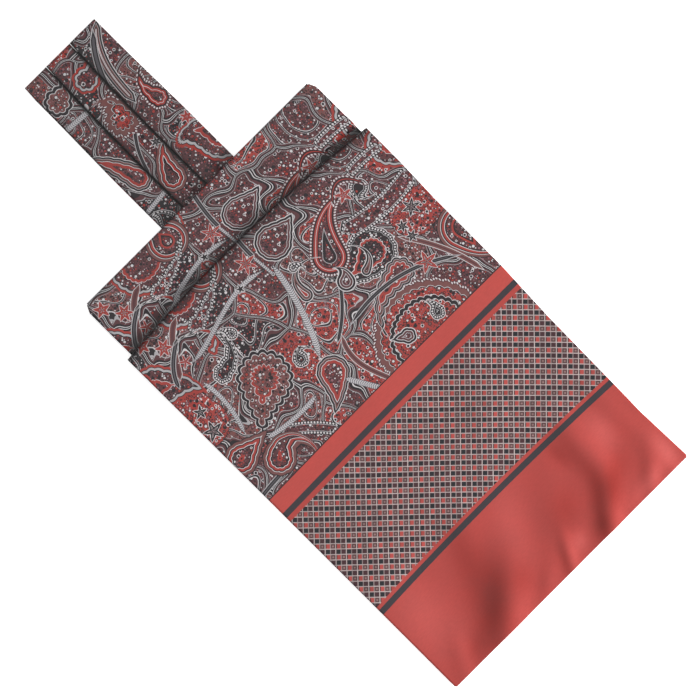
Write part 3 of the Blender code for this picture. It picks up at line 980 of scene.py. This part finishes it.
# %% Motif colours
BEAD_EVERY, BEAD_SIZE = 0.8, 0.5     # half a bead's share of the row, and its radius, in mm
BEAD_SCALE = 10.0                    # a ramp holds values up to 1, so bead depths are kept in cm
PLAIT_EVERY, PLAIT_LINE = 0.55, 0.17
SAME_KIND = 0.4
w, given, leave = new_group("Motif colours", [("Cloth", "V"), ("Motif", "V"), ("Behind", "C")],
                            [("Colour", "C")])
depth, around, kind = (w.dot(given["Motif"], axis) for axis in ((1, 0, 0), (0, 1, 0), (0, 0, 1)))
ring_place = w.math("DIVIDE", depth, DEEPEST)
kind_place = w.math("DIVIDE", kind, KIND_COUNT, clamp=True)
shift = 0.5 / KIND_COUNT
ground = w.stepped(kind_place, [(0.0, INKS["maroon"])] + [
    (KIND_NUMBER[name] / KIND_COUNT - shift, INKS[inks[0]]) for name, inks in KINDS.items()])
bead_depths = w.stepped(kind_place, [(0.0, (0, 0, 0, 1))] + [
    (KIND_NUMBER[name] / KIND_COUNT - shift, (inks[1] / BEAD_SCALE,) * 3 + (1.0,))
    for name, inks in KINDS.items()])
small = use(w, "Florets", Cloth=given["Cloth"], Ground=ground)[0]
colour, plain = None, None
for name, (_, _, rings) in KINDS.items():
    steps = w.stepped(ring_place, [(start / DEEPEST, INKS[ring]) for start, ring in rings])
    if colour is None:
        colour, plain = steps, steps.node.outputs[1]
        continue
    is_kind = w.math("COMPARE", kind, float(KIND_NUMBER[name]), SAME_KIND)
    colour = w.mixed(is_kind, colour, steps)
    plain = w.blended(is_kind, plain, steps.node.outputs[1])
colour = w.mixed(plain, small, colour)
bead_at = w.math("MULTIPLY", bead_depths, BEAD_SCALE)
bead_x = w.math("WRAP", around, BEAD_EVERY, -BEAD_EVERY)
bead_away = w.length(w.join(bead_x, w.math("SUBTRACT", depth, bead_at)))
in_bead, has_beads = w.math("LESS_THAN", bead_away, BEAD_SIZE), w.math("GREATER_THAN", bead_at, 0.1)
beads = w.math("MULTIPLY", in_bead, has_beads)
colour = w.mixed(beads, colour, INKS["white"])
is_braid = w.math("COMPARE", kind, float(KIND_NUMBER["braid"]), SAME_KIND)
slant = w.math("MULTIPLY_ADD", depth, 0.5, around)
plait = w.math("ABSOLUTE", w.math("WRAP", slant, PLAIT_EVERY, -PLAIT_EVERY))
plaited = w.math("MULTIPLY", is_braid, w.math("LESS_THAN", plait, PLAIT_LINE))
colour = w.mixed(plaited, colour, INKS["slate"])
seen = w.math("GREATER_THAN", kind, 0.5)
put(w, leave, Colour=w.mixed(seen, given["Behind"], colour))
print("motif colours of", len(w.tree.nodes), "nodes")

# %% [markdown]
# ## Where the motifs lie
# Tables place the motifs, in mm of cloth from the middle of the blade and from its hem. The large
# ones come first, so that smaller ones lie on them. They are plain teardrops, leaves, braids and
# flowers of the traditional kind, each with its own size, turn and curl.

# %% Motif tables
# across, along, turn in degrees, length, body radius, tip radius, curl, scallop, kind
GREAT_BOTEHS = (
    (33, 133, 190, 30, 31, 3, 0.3, 0.5, "great"),
    (-44, 240, -4, 26, 17, 7, 0.2, 0.35, "white lace"),
    (84, 163, 250, 24, 14, 1, 0.6, 0.0, "ringed coral"),
    (-85, 217, -32, 27, 12, 0.8, -0.3, 0.3, "white lace"),
    (42, 186, 196, 30, 13, 0.6, -0.7, 0.3, "dark beaded"),
    (45, 169, 184, 33, 7.5, 0.6, 0.5, 0.5, "coral leaf"),
    (88, 222, 250, 16, 13.5, 1, 0.5, 0.3, "white lace"),
)
FIELDS = (
    (-79, 185, 90, 16, 12, 9, 0.0, 0.0, "coral ground"),
    (70, 186, 0, 12, 12, 10, 0.0, 0.0, "coral ground"),
)
BOTEHS = (
    (-26, 239, 90, 12, 11.5, 4, 0.4, 0.0, "ringed coral"),
    (-47, 222, 12, 32, 4.6, 0.5, 0.3, 0.5, "flower row"),
    (-42, 179, 216, 26, 14.5, 0.8, 0.1, 0.75, "rosette"),
    (-55, 196, 4, 30, 5.2, 0.9, 1.9, 0.3, "dark beaded"),
    (-37.5, 206, 96, 7, 3.2, 0.3, 0.6, 0.0, "dark beaded"),
    (-79, 160, 2, 19, 9.0, 0.6, 0.0, 0.2, "ringed coral"),
    (-65, 146, 50, 26, 9.0, 1.6, -2.6, 0.2, "ringed coral"),
    (-15, 157, 238, 21, 8.8, 0.5, -0.2, 0.15, "coral leaf"),
    (-22, 173, 95, 9, 4.2, 0.7, -2.2, 0.2, "dark beaded"),
    (10, 223, 8, 17, 9.8, 0.5, 0.1, 0.15, "maroon rings"),
    (25, 198.5, 62, 32, 10.2, 2.7, -0.4, 0.0, "beaded coral"),
    (3, 193, 96, 20, 3.6, 0.5, -1.2, 0.0, "coral leaf"),
    (33, 181, 20, 15, 2.6, 0.5, 1.0, 0.0, "coral leaf"),
    (22, 184, 40, 9, 5.0, 0.5, 0.8, 0.0, "maroon rings"),
    (60, 215, 200, 8, 5.0, 0.8, 1.4, 0.0, "dark beaded"),
    (25, 143, 150, 9, 4.4, 0.5, 0.0, 0.2, "maroon rings"),
    (44, 141, 60, 8, 4.0, 0.5, 0.6, 0.2, "dark beaded"),
    (8, 207, 10, 7, 2.6, 0.5, -1.5, 0.0, "dark beaded"),
    (-50, 207.5, 16, 12, 2.4, 0.4, 1.2, 0.4, "white lace"),
)
# across, along, turn in degrees, half length, half width, bow, sway, kind
UNDER_RIBBONS = (
    (66, 161, -66, 24, 1.5, 3, 0, "stem"),
    (62, 204, 2, 25, 5.5, -4, 0, "flower row"),
    (40, 160, -12, 34, 1.3, 8, 0, "dark stem"),
    (8, 176, 42, 16, 1.2, -2, 0, "dark stem"),
    (-44, 144, -44, 16, 3.4, 2, 0, "flower row"),
    (-62, 221, 46, 16, 1.9, 2.5, 2, "stem"),
    (-67, 216, 46, 13, 1.5, 3, -1, "dark stem"),
    (3, 150, 94, 18, 1.6, 5, 2, "stem"),
    (-1, 236, 84, 13, 1.4, 1, 0, "dark stem"),
    (-74, 139, 2, 16, 1.4, 1, 0, "dark stem"),
    (72, 224, 4, 12, 3.0, 1, 0, "flower row"),
)
OVER_RIBBONS = (
    (54, 213.5, -6, 10.8, 2.6, 10.5, 0, "beaded coral"),
    (-33, 213.5, 5, 30, 1.35, 2.6, 4.5, "braid"),
    (-2, 218, 95, 7, 0.9, 0, 0, "braid"),
    (-6.5, 191, 72, 26, 1.7, -2.6, 0, "braid"),
    (-67, 184, 84, 17, 1.3, -2.5, 0, "braid"),
    (-46, 156.5, -5, 17, 1.35, -1.6, 0, "braid"),
    (-8, 142, -60, 10, 1.5, 0, 0, "braid"),
)
# across, along, turn in degrees, radius, petals, notch, kind
FLOWERS = (
    (-74, 236, 10, 5.0, 5, 0.5, "coral flower"),
    (-67, 227, 40, 5.2, 6, 0.5, "coral flower"),
    (-7.5, 225, 0, 6.4, 6, 0.6, "coral flower"),
    (-18.5, 218, 0, 2.8, 5, 0.5, "dark flower"),
    (-77, 191.5, 20, 4.2, 5, 0.55, "dark flower"),
    (-79, 180, 0, 6.0, 5, 0.55, "dark flower"),
    (72, 189.5, 15, 5.6, 6, 0.55, "dark flower"),
    (62, 185, 0, 3.8, 6, 0.5, "dark flower"),
    (62, 178, 30, 3.8, 6, 0.5, "dark flower"),
    (58, 163, 0, 6.5, 5, 0.6, "coral flower"),
    (52, 217, 0, 5.2, 5, 0.6, "coral flower"),
    (-64, 214, 0, 4.2, 5, 0.7, "coral flower"),
)

print(len(GREAT_BOTEHS + FIELDS + BOTEHS), "botehs,", len(UNDER_RIBBONS + OVER_RIBBONS), "ribbons and",
      len(FLOWERS), "flowers on the blades")

# %% Motifs of the neckband, on the same cloth further up: each strip shows 16 to 18 mm of it across
BAND_STEMS = (
    (33, 346, 70, 24, 2.9, 6, 2, "coral leaf"),
    (27, 344, 68, 24, 1.8, 5, 0, "dark stem"),
    (-2, 306, 60, 16, 1.2, 3, 0, "dark stem"),
)
BAND_BOTEHS = (
    (-29, 296, 108, 36, 7.0, 1.0, 0.3, 0.2, "coral leaf"),
    (-34, 270, 80, 10, 5.5, 0.8, 0.8, 0.0, "dark beaded"),
    (0, 323, 60, 14, 9.5, 3.0, 0.6, 0.8, "great"),
    (1, 350, 0, 12, 7.0, 3.0, 0.5, 0.4, "white lace"),
    (-3, 284, 74, 24, 7.5, 1.0, -0.4, 0.2, "ringed coral"),
    (44, 283, 120, 18, 14.0, 5.0, 0.3, 0.3, "white lace"),
    (35, 318, 110, 20, 6.5, 1.0, -0.7, 0.3, "beaded coral"),
    (-31, 352, 10, 12, 7.5, 1.5, 0.4, 0.5, "rosette"),
)
BAND_BRAIDS = (
    (-31, 338, -4, 14, 1.5, 0.5, 0, "braid"),
    (-31, 281, 5, 14, 1.3, 0.4, 0, "braid"),
)
BAND_FLOWERS = (
    (38, 301, 0, 4.2, 6, 0.5, "coral flower"),
    (4, 303, 0, 3.6, 6, 0.5, "dark flower"),
)
print(len(BAND_STEMS + BAND_BOTEHS + BAND_BRAIDS + BAND_FLOWERS), "motifs on the neckband")

# %% [markdown]
# ## Printing the tables
# Each row of a table becomes one motif group, and each group takes what came before it, as one
# screen is printed over another. The blades and the neckband get a group each, because one long
# chain is slower, and a shader can hold only so many steps.

# %% Lay the motifs
def facing(turn):
    """The directions along and across a motif that is turned by so many degrees."""
    cosine, sine = math.cos(math.radians(turn)), math.sin(math.radians(turn))
    return {"Axis": (cosine, sine, 0.0), "Side": (-sine, cosine, 0.0)}


def lay_boteh(w, cloth, row, before):
    """One teardrop from its row."""
    x, y, turn, length, body, tip, curl, scallop, kind = row
    return use(w, "Boteh", Cloth=cloth, Centre=(x, y, 0), Length=length, Body=body, Tip=tip, Curl=curl,
               Scallop=scallop, Kind=KIND_NUMBER[kind], Before=before, **facing(turn))[0]


def lay_ribbon(w, cloth, row, before):
    """One band from its row."""
    x, y, turn, half_length, half_width, bow, sway, kind = row
    return use(w, "Ribbon", Cloth=cloth, Centre=(x, y, 0), Half_length=half_length,
               Half_width=half_width, Bow=bow, Sway=sway, Kind=KIND_NUMBER[kind], Before=before,
               **facing(turn))[0]


def lay_flower(w, cloth, row, before):
    """One flower from its row."""
    x, y, turn, size, petals, notch, kind = row
    return use(w, "Flower", Cloth=cloth, Centre=(x, y, 0), Turn=math.radians(turn), Radius=size,
               Petals=petals, Notch=notch, Kind=KIND_NUMBER[kind], Before=before)[0]


def paisley_group(name, *layers):
    """A group that prints the layers over the fields, the first at the bottom."""
    w, given, leave = new_group(name, [("Cloth", "V")], [("Colour", "C")])
    cloth = given["Cloth"]
    motif = (0.0, 0.0, 0.0)
    for lay, rows in layers:
        for row in rows:
            motif = lay(w, cloth, row, motif)
    ground = use(w, "Fields", Cloth=cloth)[0]
    put(w, leave, Colour=use(w, "Motif colours", Cloth=cloth, Motif=motif, Behind=ground)[0])
    print(name, "has", sum(len(rows) for lay, rows in layers), "motifs")


paisley_group("Paisley", (lay_boteh, FIELDS), (lay_boteh, GREAT_BOTEHS), (lay_ribbon, UNDER_RIBBONS),
              (lay_boteh, BOTEHS), (lay_ribbon, OVER_RIBBONS), (lay_flower, FLOWERS))
paisley_group("Neckband paisley", (lay_ribbon, BAND_STEMS), (lay_boteh, BAND_BOTEHS),
              (lay_ribbon, BAND_BRAIDS), (lay_flower, BAND_FLOWERS))

# %% [markdown] ## The border's check and stripes Below the paisley the blade is printed with a
# coral band, a charcoal stripe, a fine check set slantwise, another stripe, and a plain coral end.
# A checker texture has only two colours, so the squares are counted with Floor and told apart by
# whether the count is odd. The stripes are one ramp along the cloth.

# %% Check
CHECK_CELL = 2.745     # mm from square to square
CHECK_LEAN = 0.03      # the columns lean by this much of a square in each row
LINE_SHARE, SLIVER_SHARE = 0.17, 0.34


def is_odd(w, value):
    """1 for an odd whole number and 0 for an even one."""
    return w.math("MULTIPLY", w.math("FRACT", w.math("MULTIPLY", value, 0.5)), 2.0)


w, given, leave = new_group("Check", [("Cloth", "V")], [("Colour", "C")])
x, y, _ = w.parts(w.scaled(w.turned(given["Cloth"], math.radians(45)), 1.0 / CHECK_CELL))
row = w.math("FLOOR", y)
odd_row = is_odd(w, row)
column = w.math("MULTIPLY_ADD", row, CHECK_LEAN, x)
odd_column = is_odd(w, w.math("FLOOR", column))
in_x, in_y = w.math("FRACT", column), w.math("FRACT", y)
off_centre = w.math("MAXIMUM", w.math("ABSOLUTE", w.math("SUBTRACT", in_x, 0.58)),
                    w.math("ABSOLUTE", w.math("SUBTRACT", in_y, 0.58)))
brown_cell = w.mixed(w.math("LESS_THAN", off_centre, LINE_SHARE), ink("6E4A4A"), ink("B08A88"))
coral_row = w.mixed(odd_column, ink("DA5A54"), brown_cell)
dark_row = w.mixed(odd_column, ink("272A30"), ink("563238"))
colour = w.mixed(odd_row, coral_row, dark_row)
in_sliver = w.math("LESS_THAN", in_x, SLIVER_SHARE)
sliver = w.math("MULTIPLY", in_sliver, w.math("SUBTRACT", 1.0, odd_column))
colour = w.mixed(sliver, colour, ink("35262A"))
line_strength = w.math("MULTIPLY_ADD", odd_column, -0.45, 0.95)
upright = w.math("MULTIPLY", w.math("LESS_THAN", in_x, LINE_SHARE), line_strength)
level = w.math("MULTIPLY", w.math("LESS_THAN", in_y, LINE_SHARE), 0.85)
colour = w.mixed(w.math("MAXIMUM", upright, level), colour, ink("EEDAD8"))
cell_chance = w.node("ShaderNodeTexWhiteNoise", {0: w.join(w.math("FLOOR", column), row)}, 0,
                     noise_dimensions="2D")
colour = w.scaled(colour, w.math("MULTIPLY_ADD", cell_chance, 0.35, 0.74))
put(w, leave, Colour=colour)
print("check of", CHECK_CELL, "mm squares")

# %% Border
BORDER_TOP = 135.5     # mm above the hem, where the paisley begins
CHECK_TOP = 127.0      # somewhere in the coral band above the check
RAMP_LENGTH = 160.0    # mm of cloth that the ramp stands for
w, given, leave = new_group("Border", [("Cloth", "V"), ("Paisley", "C")], [("Colour", "C")])
_, along, _ = w.parts(given["Cloth"])
check = use(w, "Check", Cloth=given["Cloth"])[0]
CORAL = ink("D7514A")
BAND_CORAL = ink("E55A52")
STRIPE = ink("463F45")
PRINTED = (0.0, 0.0, 0.0, 0.0)     # no plain ink here: the check or the paisley shows
# start in mm from the hem, and the ink from there up
BAND_STOPS = ((0.0, CORAL), (52.0, STRIPE), (55.2, CORAL), (57.4, PRINTED), (119.6, CORAL),
              (122.0, STRIPE), (125.2, BAND_CORAL), (134.8, ink("4A2E31")), (BORDER_TOP, PRINTED))
stripes = w.stepped(w.math("DIVIDE", along, RAMP_LENGTH),
                    [(start / RAMP_LENGTH, colour) for start, colour in BAND_STOPS])
printed = w.mixed(w.math("GREATER_THAN", along, CHECK_TOP), check, given["Paisley"])
put(w, leave, Colour=w.mixed(stripes.node.outputs[1], printed, stripes))
print("border ends", BORDER_TOP, "mm above the hem")

# %% [markdown]
# ## The silk itself
# Printed silk twill has a fine slanting rib and a soft sheen, and its ink never lies quite evenly.
# One group gives all three from the cloth map, so each material shares it. It also reads the painted
# shade: where that is high the colour is painted darker and a little richer, as in a shaded fold.
# The rib is drawn as a wave and not as real threads, because 0.4 mm threads would take millions.

# %% Silk twill, and the painted shade
w, given, leave = new_group("Silk twill and painted shade", [("Cloth", "V"), ("Colour", "C"), ("Fold depth", "F")],
                            [("Colour", "C"), ("Height", "F"), ("Roughness", "F")])
cloth = given["Cloth"]
RIB, RIB_TURN = 0.42, -58     # mm from rib to rib, and their slant in degrees
THREAD_STRETCH, THREAD_SIZE, BLOTCH_SIZE = (0.35, 1.6, 1.0), 0.9, 14.0
rib_x, _, _ = w.parts(w.turned(cloth, math.radians(RIB_TURN)))
rib = w.math("SINE", w.math("MULTIPLY", rib_x, 2 * math.pi / RIB))
thread = w.noise(w.vector("MULTIPLY", cloth, THREAD_STRETCH), THREAD_SIZE, 1.0)
blotch = w.noise(cloth, BLOTCH_SIZE, 3.0)
tone = w.math("MULTIPLY_ADD", w.math("SUBTRACT", blotch, 0.5), 0.16, 1.0)
tone = w.math("MULTIPLY_ADD", w.math("SUBTRACT", thread, 0.5), 0.18, tone)
tone = w.math("MULTIPLY_ADD", rib, 0.02, tone)
# painted shade: the colour is darkened (or, below zero, lightened) by the painted shade, and grows a
# little more saturated with it
tone = w.math("MULTIPLY", tone, w.math("SUBTRACT", 1.0, given["Fold depth"]))
shade_saturation = w.math("MULTIPLY_ADD", given["Fold depth"], 0.14, 1.0)
shaded_colour = w.node("ShaderNodeHueSaturation", {"Saturation": shade_saturation, "Color": given["Colour"]})
put(w, leave, Colour=w.scaled(shaded_colour, tone))
put(w, leave, Height=w.math("MULTIPLY_ADD", thread, 0.5, w.math("MULTIPLY", rib, 0.25)))
put(w, leave, Roughness=w.math("MULTIPLY_ADD", blotch, 0.12, 0.42))
print("twill ribs every", RIB, "mm, roughness from 0.42 to 0.54")

# %% [markdown]
# ## The silk's materials
# The shader stays in each material, where its sheen and gloss are plain numbers. Only the print
# differs from one to the next, so a function makes the material and takes the print as a part.
# Sheen lifts the silk's edges at a low angle. A metal-like shader would shine more, but matt twill
# has only a soft gloss.

# %% Silk materials
RIB_HEIGHT = 0.05 * MM


def silk(name, finish):
    """A silk material. finish(wiring, cloth) returns the print's colour."""
    material = bpy.data.materials.new(name)
    material.use_nodes = True
    material.node_tree.nodes.clear()
    w = Wiring(material.node_tree)
    cloth = w.node("ShaderNodeUVMap", {}, uv_map="Cloth")
    cloth = w.scaled(cloth, 1.0 / MM)
    # the painted shade stored with each point
    fold = w.node("ShaderNodeAttribute", {}, "Fac", attribute_name="Fold depth")
    made = use(w, "Silk twill and painted shade", Cloth=cloth, Colour=finish(w, cloth), Fold_depth=fold)
    bump = w.node("ShaderNodeBump", {"Height": made["Height"], "Distance": RIB_HEIGHT,
                                     "Strength": 0.35})
    surface = w.node("ShaderNodeBsdfPrincipled", {
        "Base Color": made["Colour"], "Roughness": made["Roughness"], "Normal": bump,
        "Specular IOR Level": 0.35, "Sheen Weight": 0.12, "Sheen Roughness": 0.4})
    leave = material.node_tree.nodes.new("ShaderNodeOutputMaterial")
    material.node_tree.links.new(surface, leave.inputs[0])
    return material


def paisley_all_over(w, cloth):
    return use(w, "Paisley", Cloth=cloth)[0]


def neckband_paisley(w, cloth):
    return use(w, "Neckband paisley", Cloth=cloth)[0]


def paisley_with_border(w, cloth):
    return use(w, "Border", Cloth=cloth, Paisley=use(w, "Paisley", Cloth=cloth)[0])[0]


# %% Put the silk on
paisley_silk = silk("paisley silk", paisley_all_over)
neckband_silk = silk("neckband silk", neckband_paisley)
border_silk = silk("border silk", paisley_with_border)
for piece in (front_blade, rear_blade):
    piece.data.materials.append(border_silk)
for piece in (shoulder, *inner_layers):
    piece.data.materials.append(paisley_silk)
for piece in strips:
    piece.data.materials.append(neckband_silk)
print("silk on", 3 + len(strips) + len(inner_layers), "pieces")

# %% [markdown]
# ## Attach each piece to the root
# Every visible piece stands for its measured solid and says how large its silk was cut. The cut is
# the length of the sheet's own rows, so it always fits the piece.

TURN_ALLOWANCE = 6 * MM
BAND_CUT = ((BAND_HIGH - REST) * math.pi / 2 + 2 * (LENGTH - TURN_LENGTH) - BAND_INNER_END - REAR_TOP
            + TURN_ALLOWANCE)


def declare(piece, node, flat):
    """Attaches a piece to the root body, hides the solid it stands for, and prints the size it was cut
    to.
    """
    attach(piece, "root")
    if node:
        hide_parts(node)
    print(piece.name, "cut", tuple(round(side / MM) for side in flat), "mm")


declare(front_blade, "front_blade", (2 * BLADE_HALF, FRONT_RUN))
declare(shoulder, "blade_shoulder", (2 * SHOULDER_HALF, shoulder_run[-1]))
declare(rear_blade, "rear_blade", (2 * REAR_HALF, REAR_TOP))
for number, (piece, side) in enumerate(zip(strips, ("left", "middle", "right"))):
    wide = edges[number + 1] - edges[number] + (PLEAT_LAP if number < 2 else 0.0)
    declare(piece, "neckband_pleat_" + side, (wide, BAND_CUT))
for number, piece in enumerate(inner_layers):
    declare(piece, "hidden_folds" if number == 0 else None,
            (2 * HIDDEN_HALF, HIDDEN_TO - HIDDEN_FROM))

# %% [markdown]
# ## The table
# The cravat lies on a pale table. Its paint glows a little, which keeps it near white with the
# lamps turned low enough for the silk. A brighter lamp would do that too, and bleach the print.

# %% Table
floor_mesh = bpy.data.meshes.new("table top")
bm = bmesh.new()
bmesh.ops.create_grid(bm, x_segments=1, y_segments=1, size=3.0)
bm.to_mesh(floor_mesh)
bm.free()
floor = bpy.data.objects.new("table_top", floor_mesh)
floor.location.z = -0.0004
bpy.context.scene.collection.objects.link(floor)
floor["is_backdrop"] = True
table_paint = bpy.data.materials.new("table paint")
table_paint.use_nodes = True
table_shader = table_paint.node_tree.nodes["Principled BSDF"]
table_shader.inputs["Base Color"].default_value = (0.93, 0.93, 0.93, 1.0)
table_shader.inputs["Roughness"].default_value = 0.9
table_shader.inputs["Specular IOR Level"].default_value = 0.1
table_shader.inputs["Emission Color"].default_value = (1.0, 1.0, 1.0, 1.0)
table_shader.inputs["Emission Strength"].default_value = 0.6
floor.data.materials.append(table_paint)
print("table top", floor.dimensions[0], "m wide")

# %% [markdown]
# ## The lamps
# One wide lamp overhead gives the even light, and a lower one from the hem's side lets the swells
# and the roll show. Seen from the far side, the low lamp would flash off the silk as off a
# mirror, so it is kept out of the gloss and lights the cloth only.

# %% Lamps
def lamp(name, place, size, power, in_gloss=True):
    """A square soft light that faces the cravat's middle, and may be kept out of the silk's gloss."""
    light = bpy.data.lights.new(name, "AREA")
    light.size = size
    light.energy = power
    made = bpy.data.objects.new(name, light)
    made.location = place
    made.rotation_euler = (-Vector(place)).to_track_quat("-Z", "Y").to_euler()
    made.visible_glossy = in_gloss
    bpy.context.scene.collection.objects.link(made)
    return made


lamp("overhead light", (0.0, 0.3, 2.4), 2.2, 24.0)
lamp("hem side light", (1.05, -1.4, 0.85), 0.7, 46.0, in_gloss=False)
world = bpy.data.worlds.new("studio air")
world.use_nodes = True
world.node_tree.nodes["Background"].inputs["Color"].default_value = (1.0, 1.0, 1.0, 1.0)
world.node_tree.nodes["Background"].inputs["Strength"].default_value = 0.28
bpy.context.scene.world = world
bpy.context.scene.view_settings.view_transform = "Standard"
print("two lamps and white air")

# %% [markdown]
# ## The camera
# The camera looks straight down through a long lens, turned so that the cravat runs from corner to
# corner. From 2 m up the folds show no perspective. An orthographic camera would show the same,
# but a long lens behaves as a real one when it is moved.

# %% Camera
CAMERA_HEIGHT = 2.0
TOP_OF_CLOTH = 0.004
SEEN_WIDTH = 0.3542
CAMERA_ASIDE, CAMERA_ABOVE_HEM = -1.1 * MM, 158.9 * MM
CAMERA_TURN = -45.0
camera_data = bpy.data.cameras.new("camera")
camera_data.sensor_width = 36.0
camera_data.lens = camera_data.sensor_width * (CAMERA_HEIGHT - TOP_OF_CLOTH) / SEEN_WIDTH
camera_data.clip_end = 20.0
camera = bpy.data.objects.new("camera", camera_data)
camera.location = (CAMERA_ASIDE, HEM + CAMERA_ABOVE_HEM, CAMERA_HEIGHT)
camera.rotation_euler = (0.0, 0.0, math.radians(CAMERA_TURN))
bpy.context.scene.collection.objects.link(camera)
bpy.context.scene.camera = camera
print("lens", round(camera_data.lens), "mm")

# %% [markdown]
# ## Measure and finish
# The finished silk is measured against the solids, because it has to keep their size.

# %% Measure and finish
new_low, new_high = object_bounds()
for axis, before, after in zip("xyz", cad_high - cad_low, new_high - new_low):
    print(axis, "solid", round(before / MM, 1), "mm, seen", round(after / MM, 1), "mm")
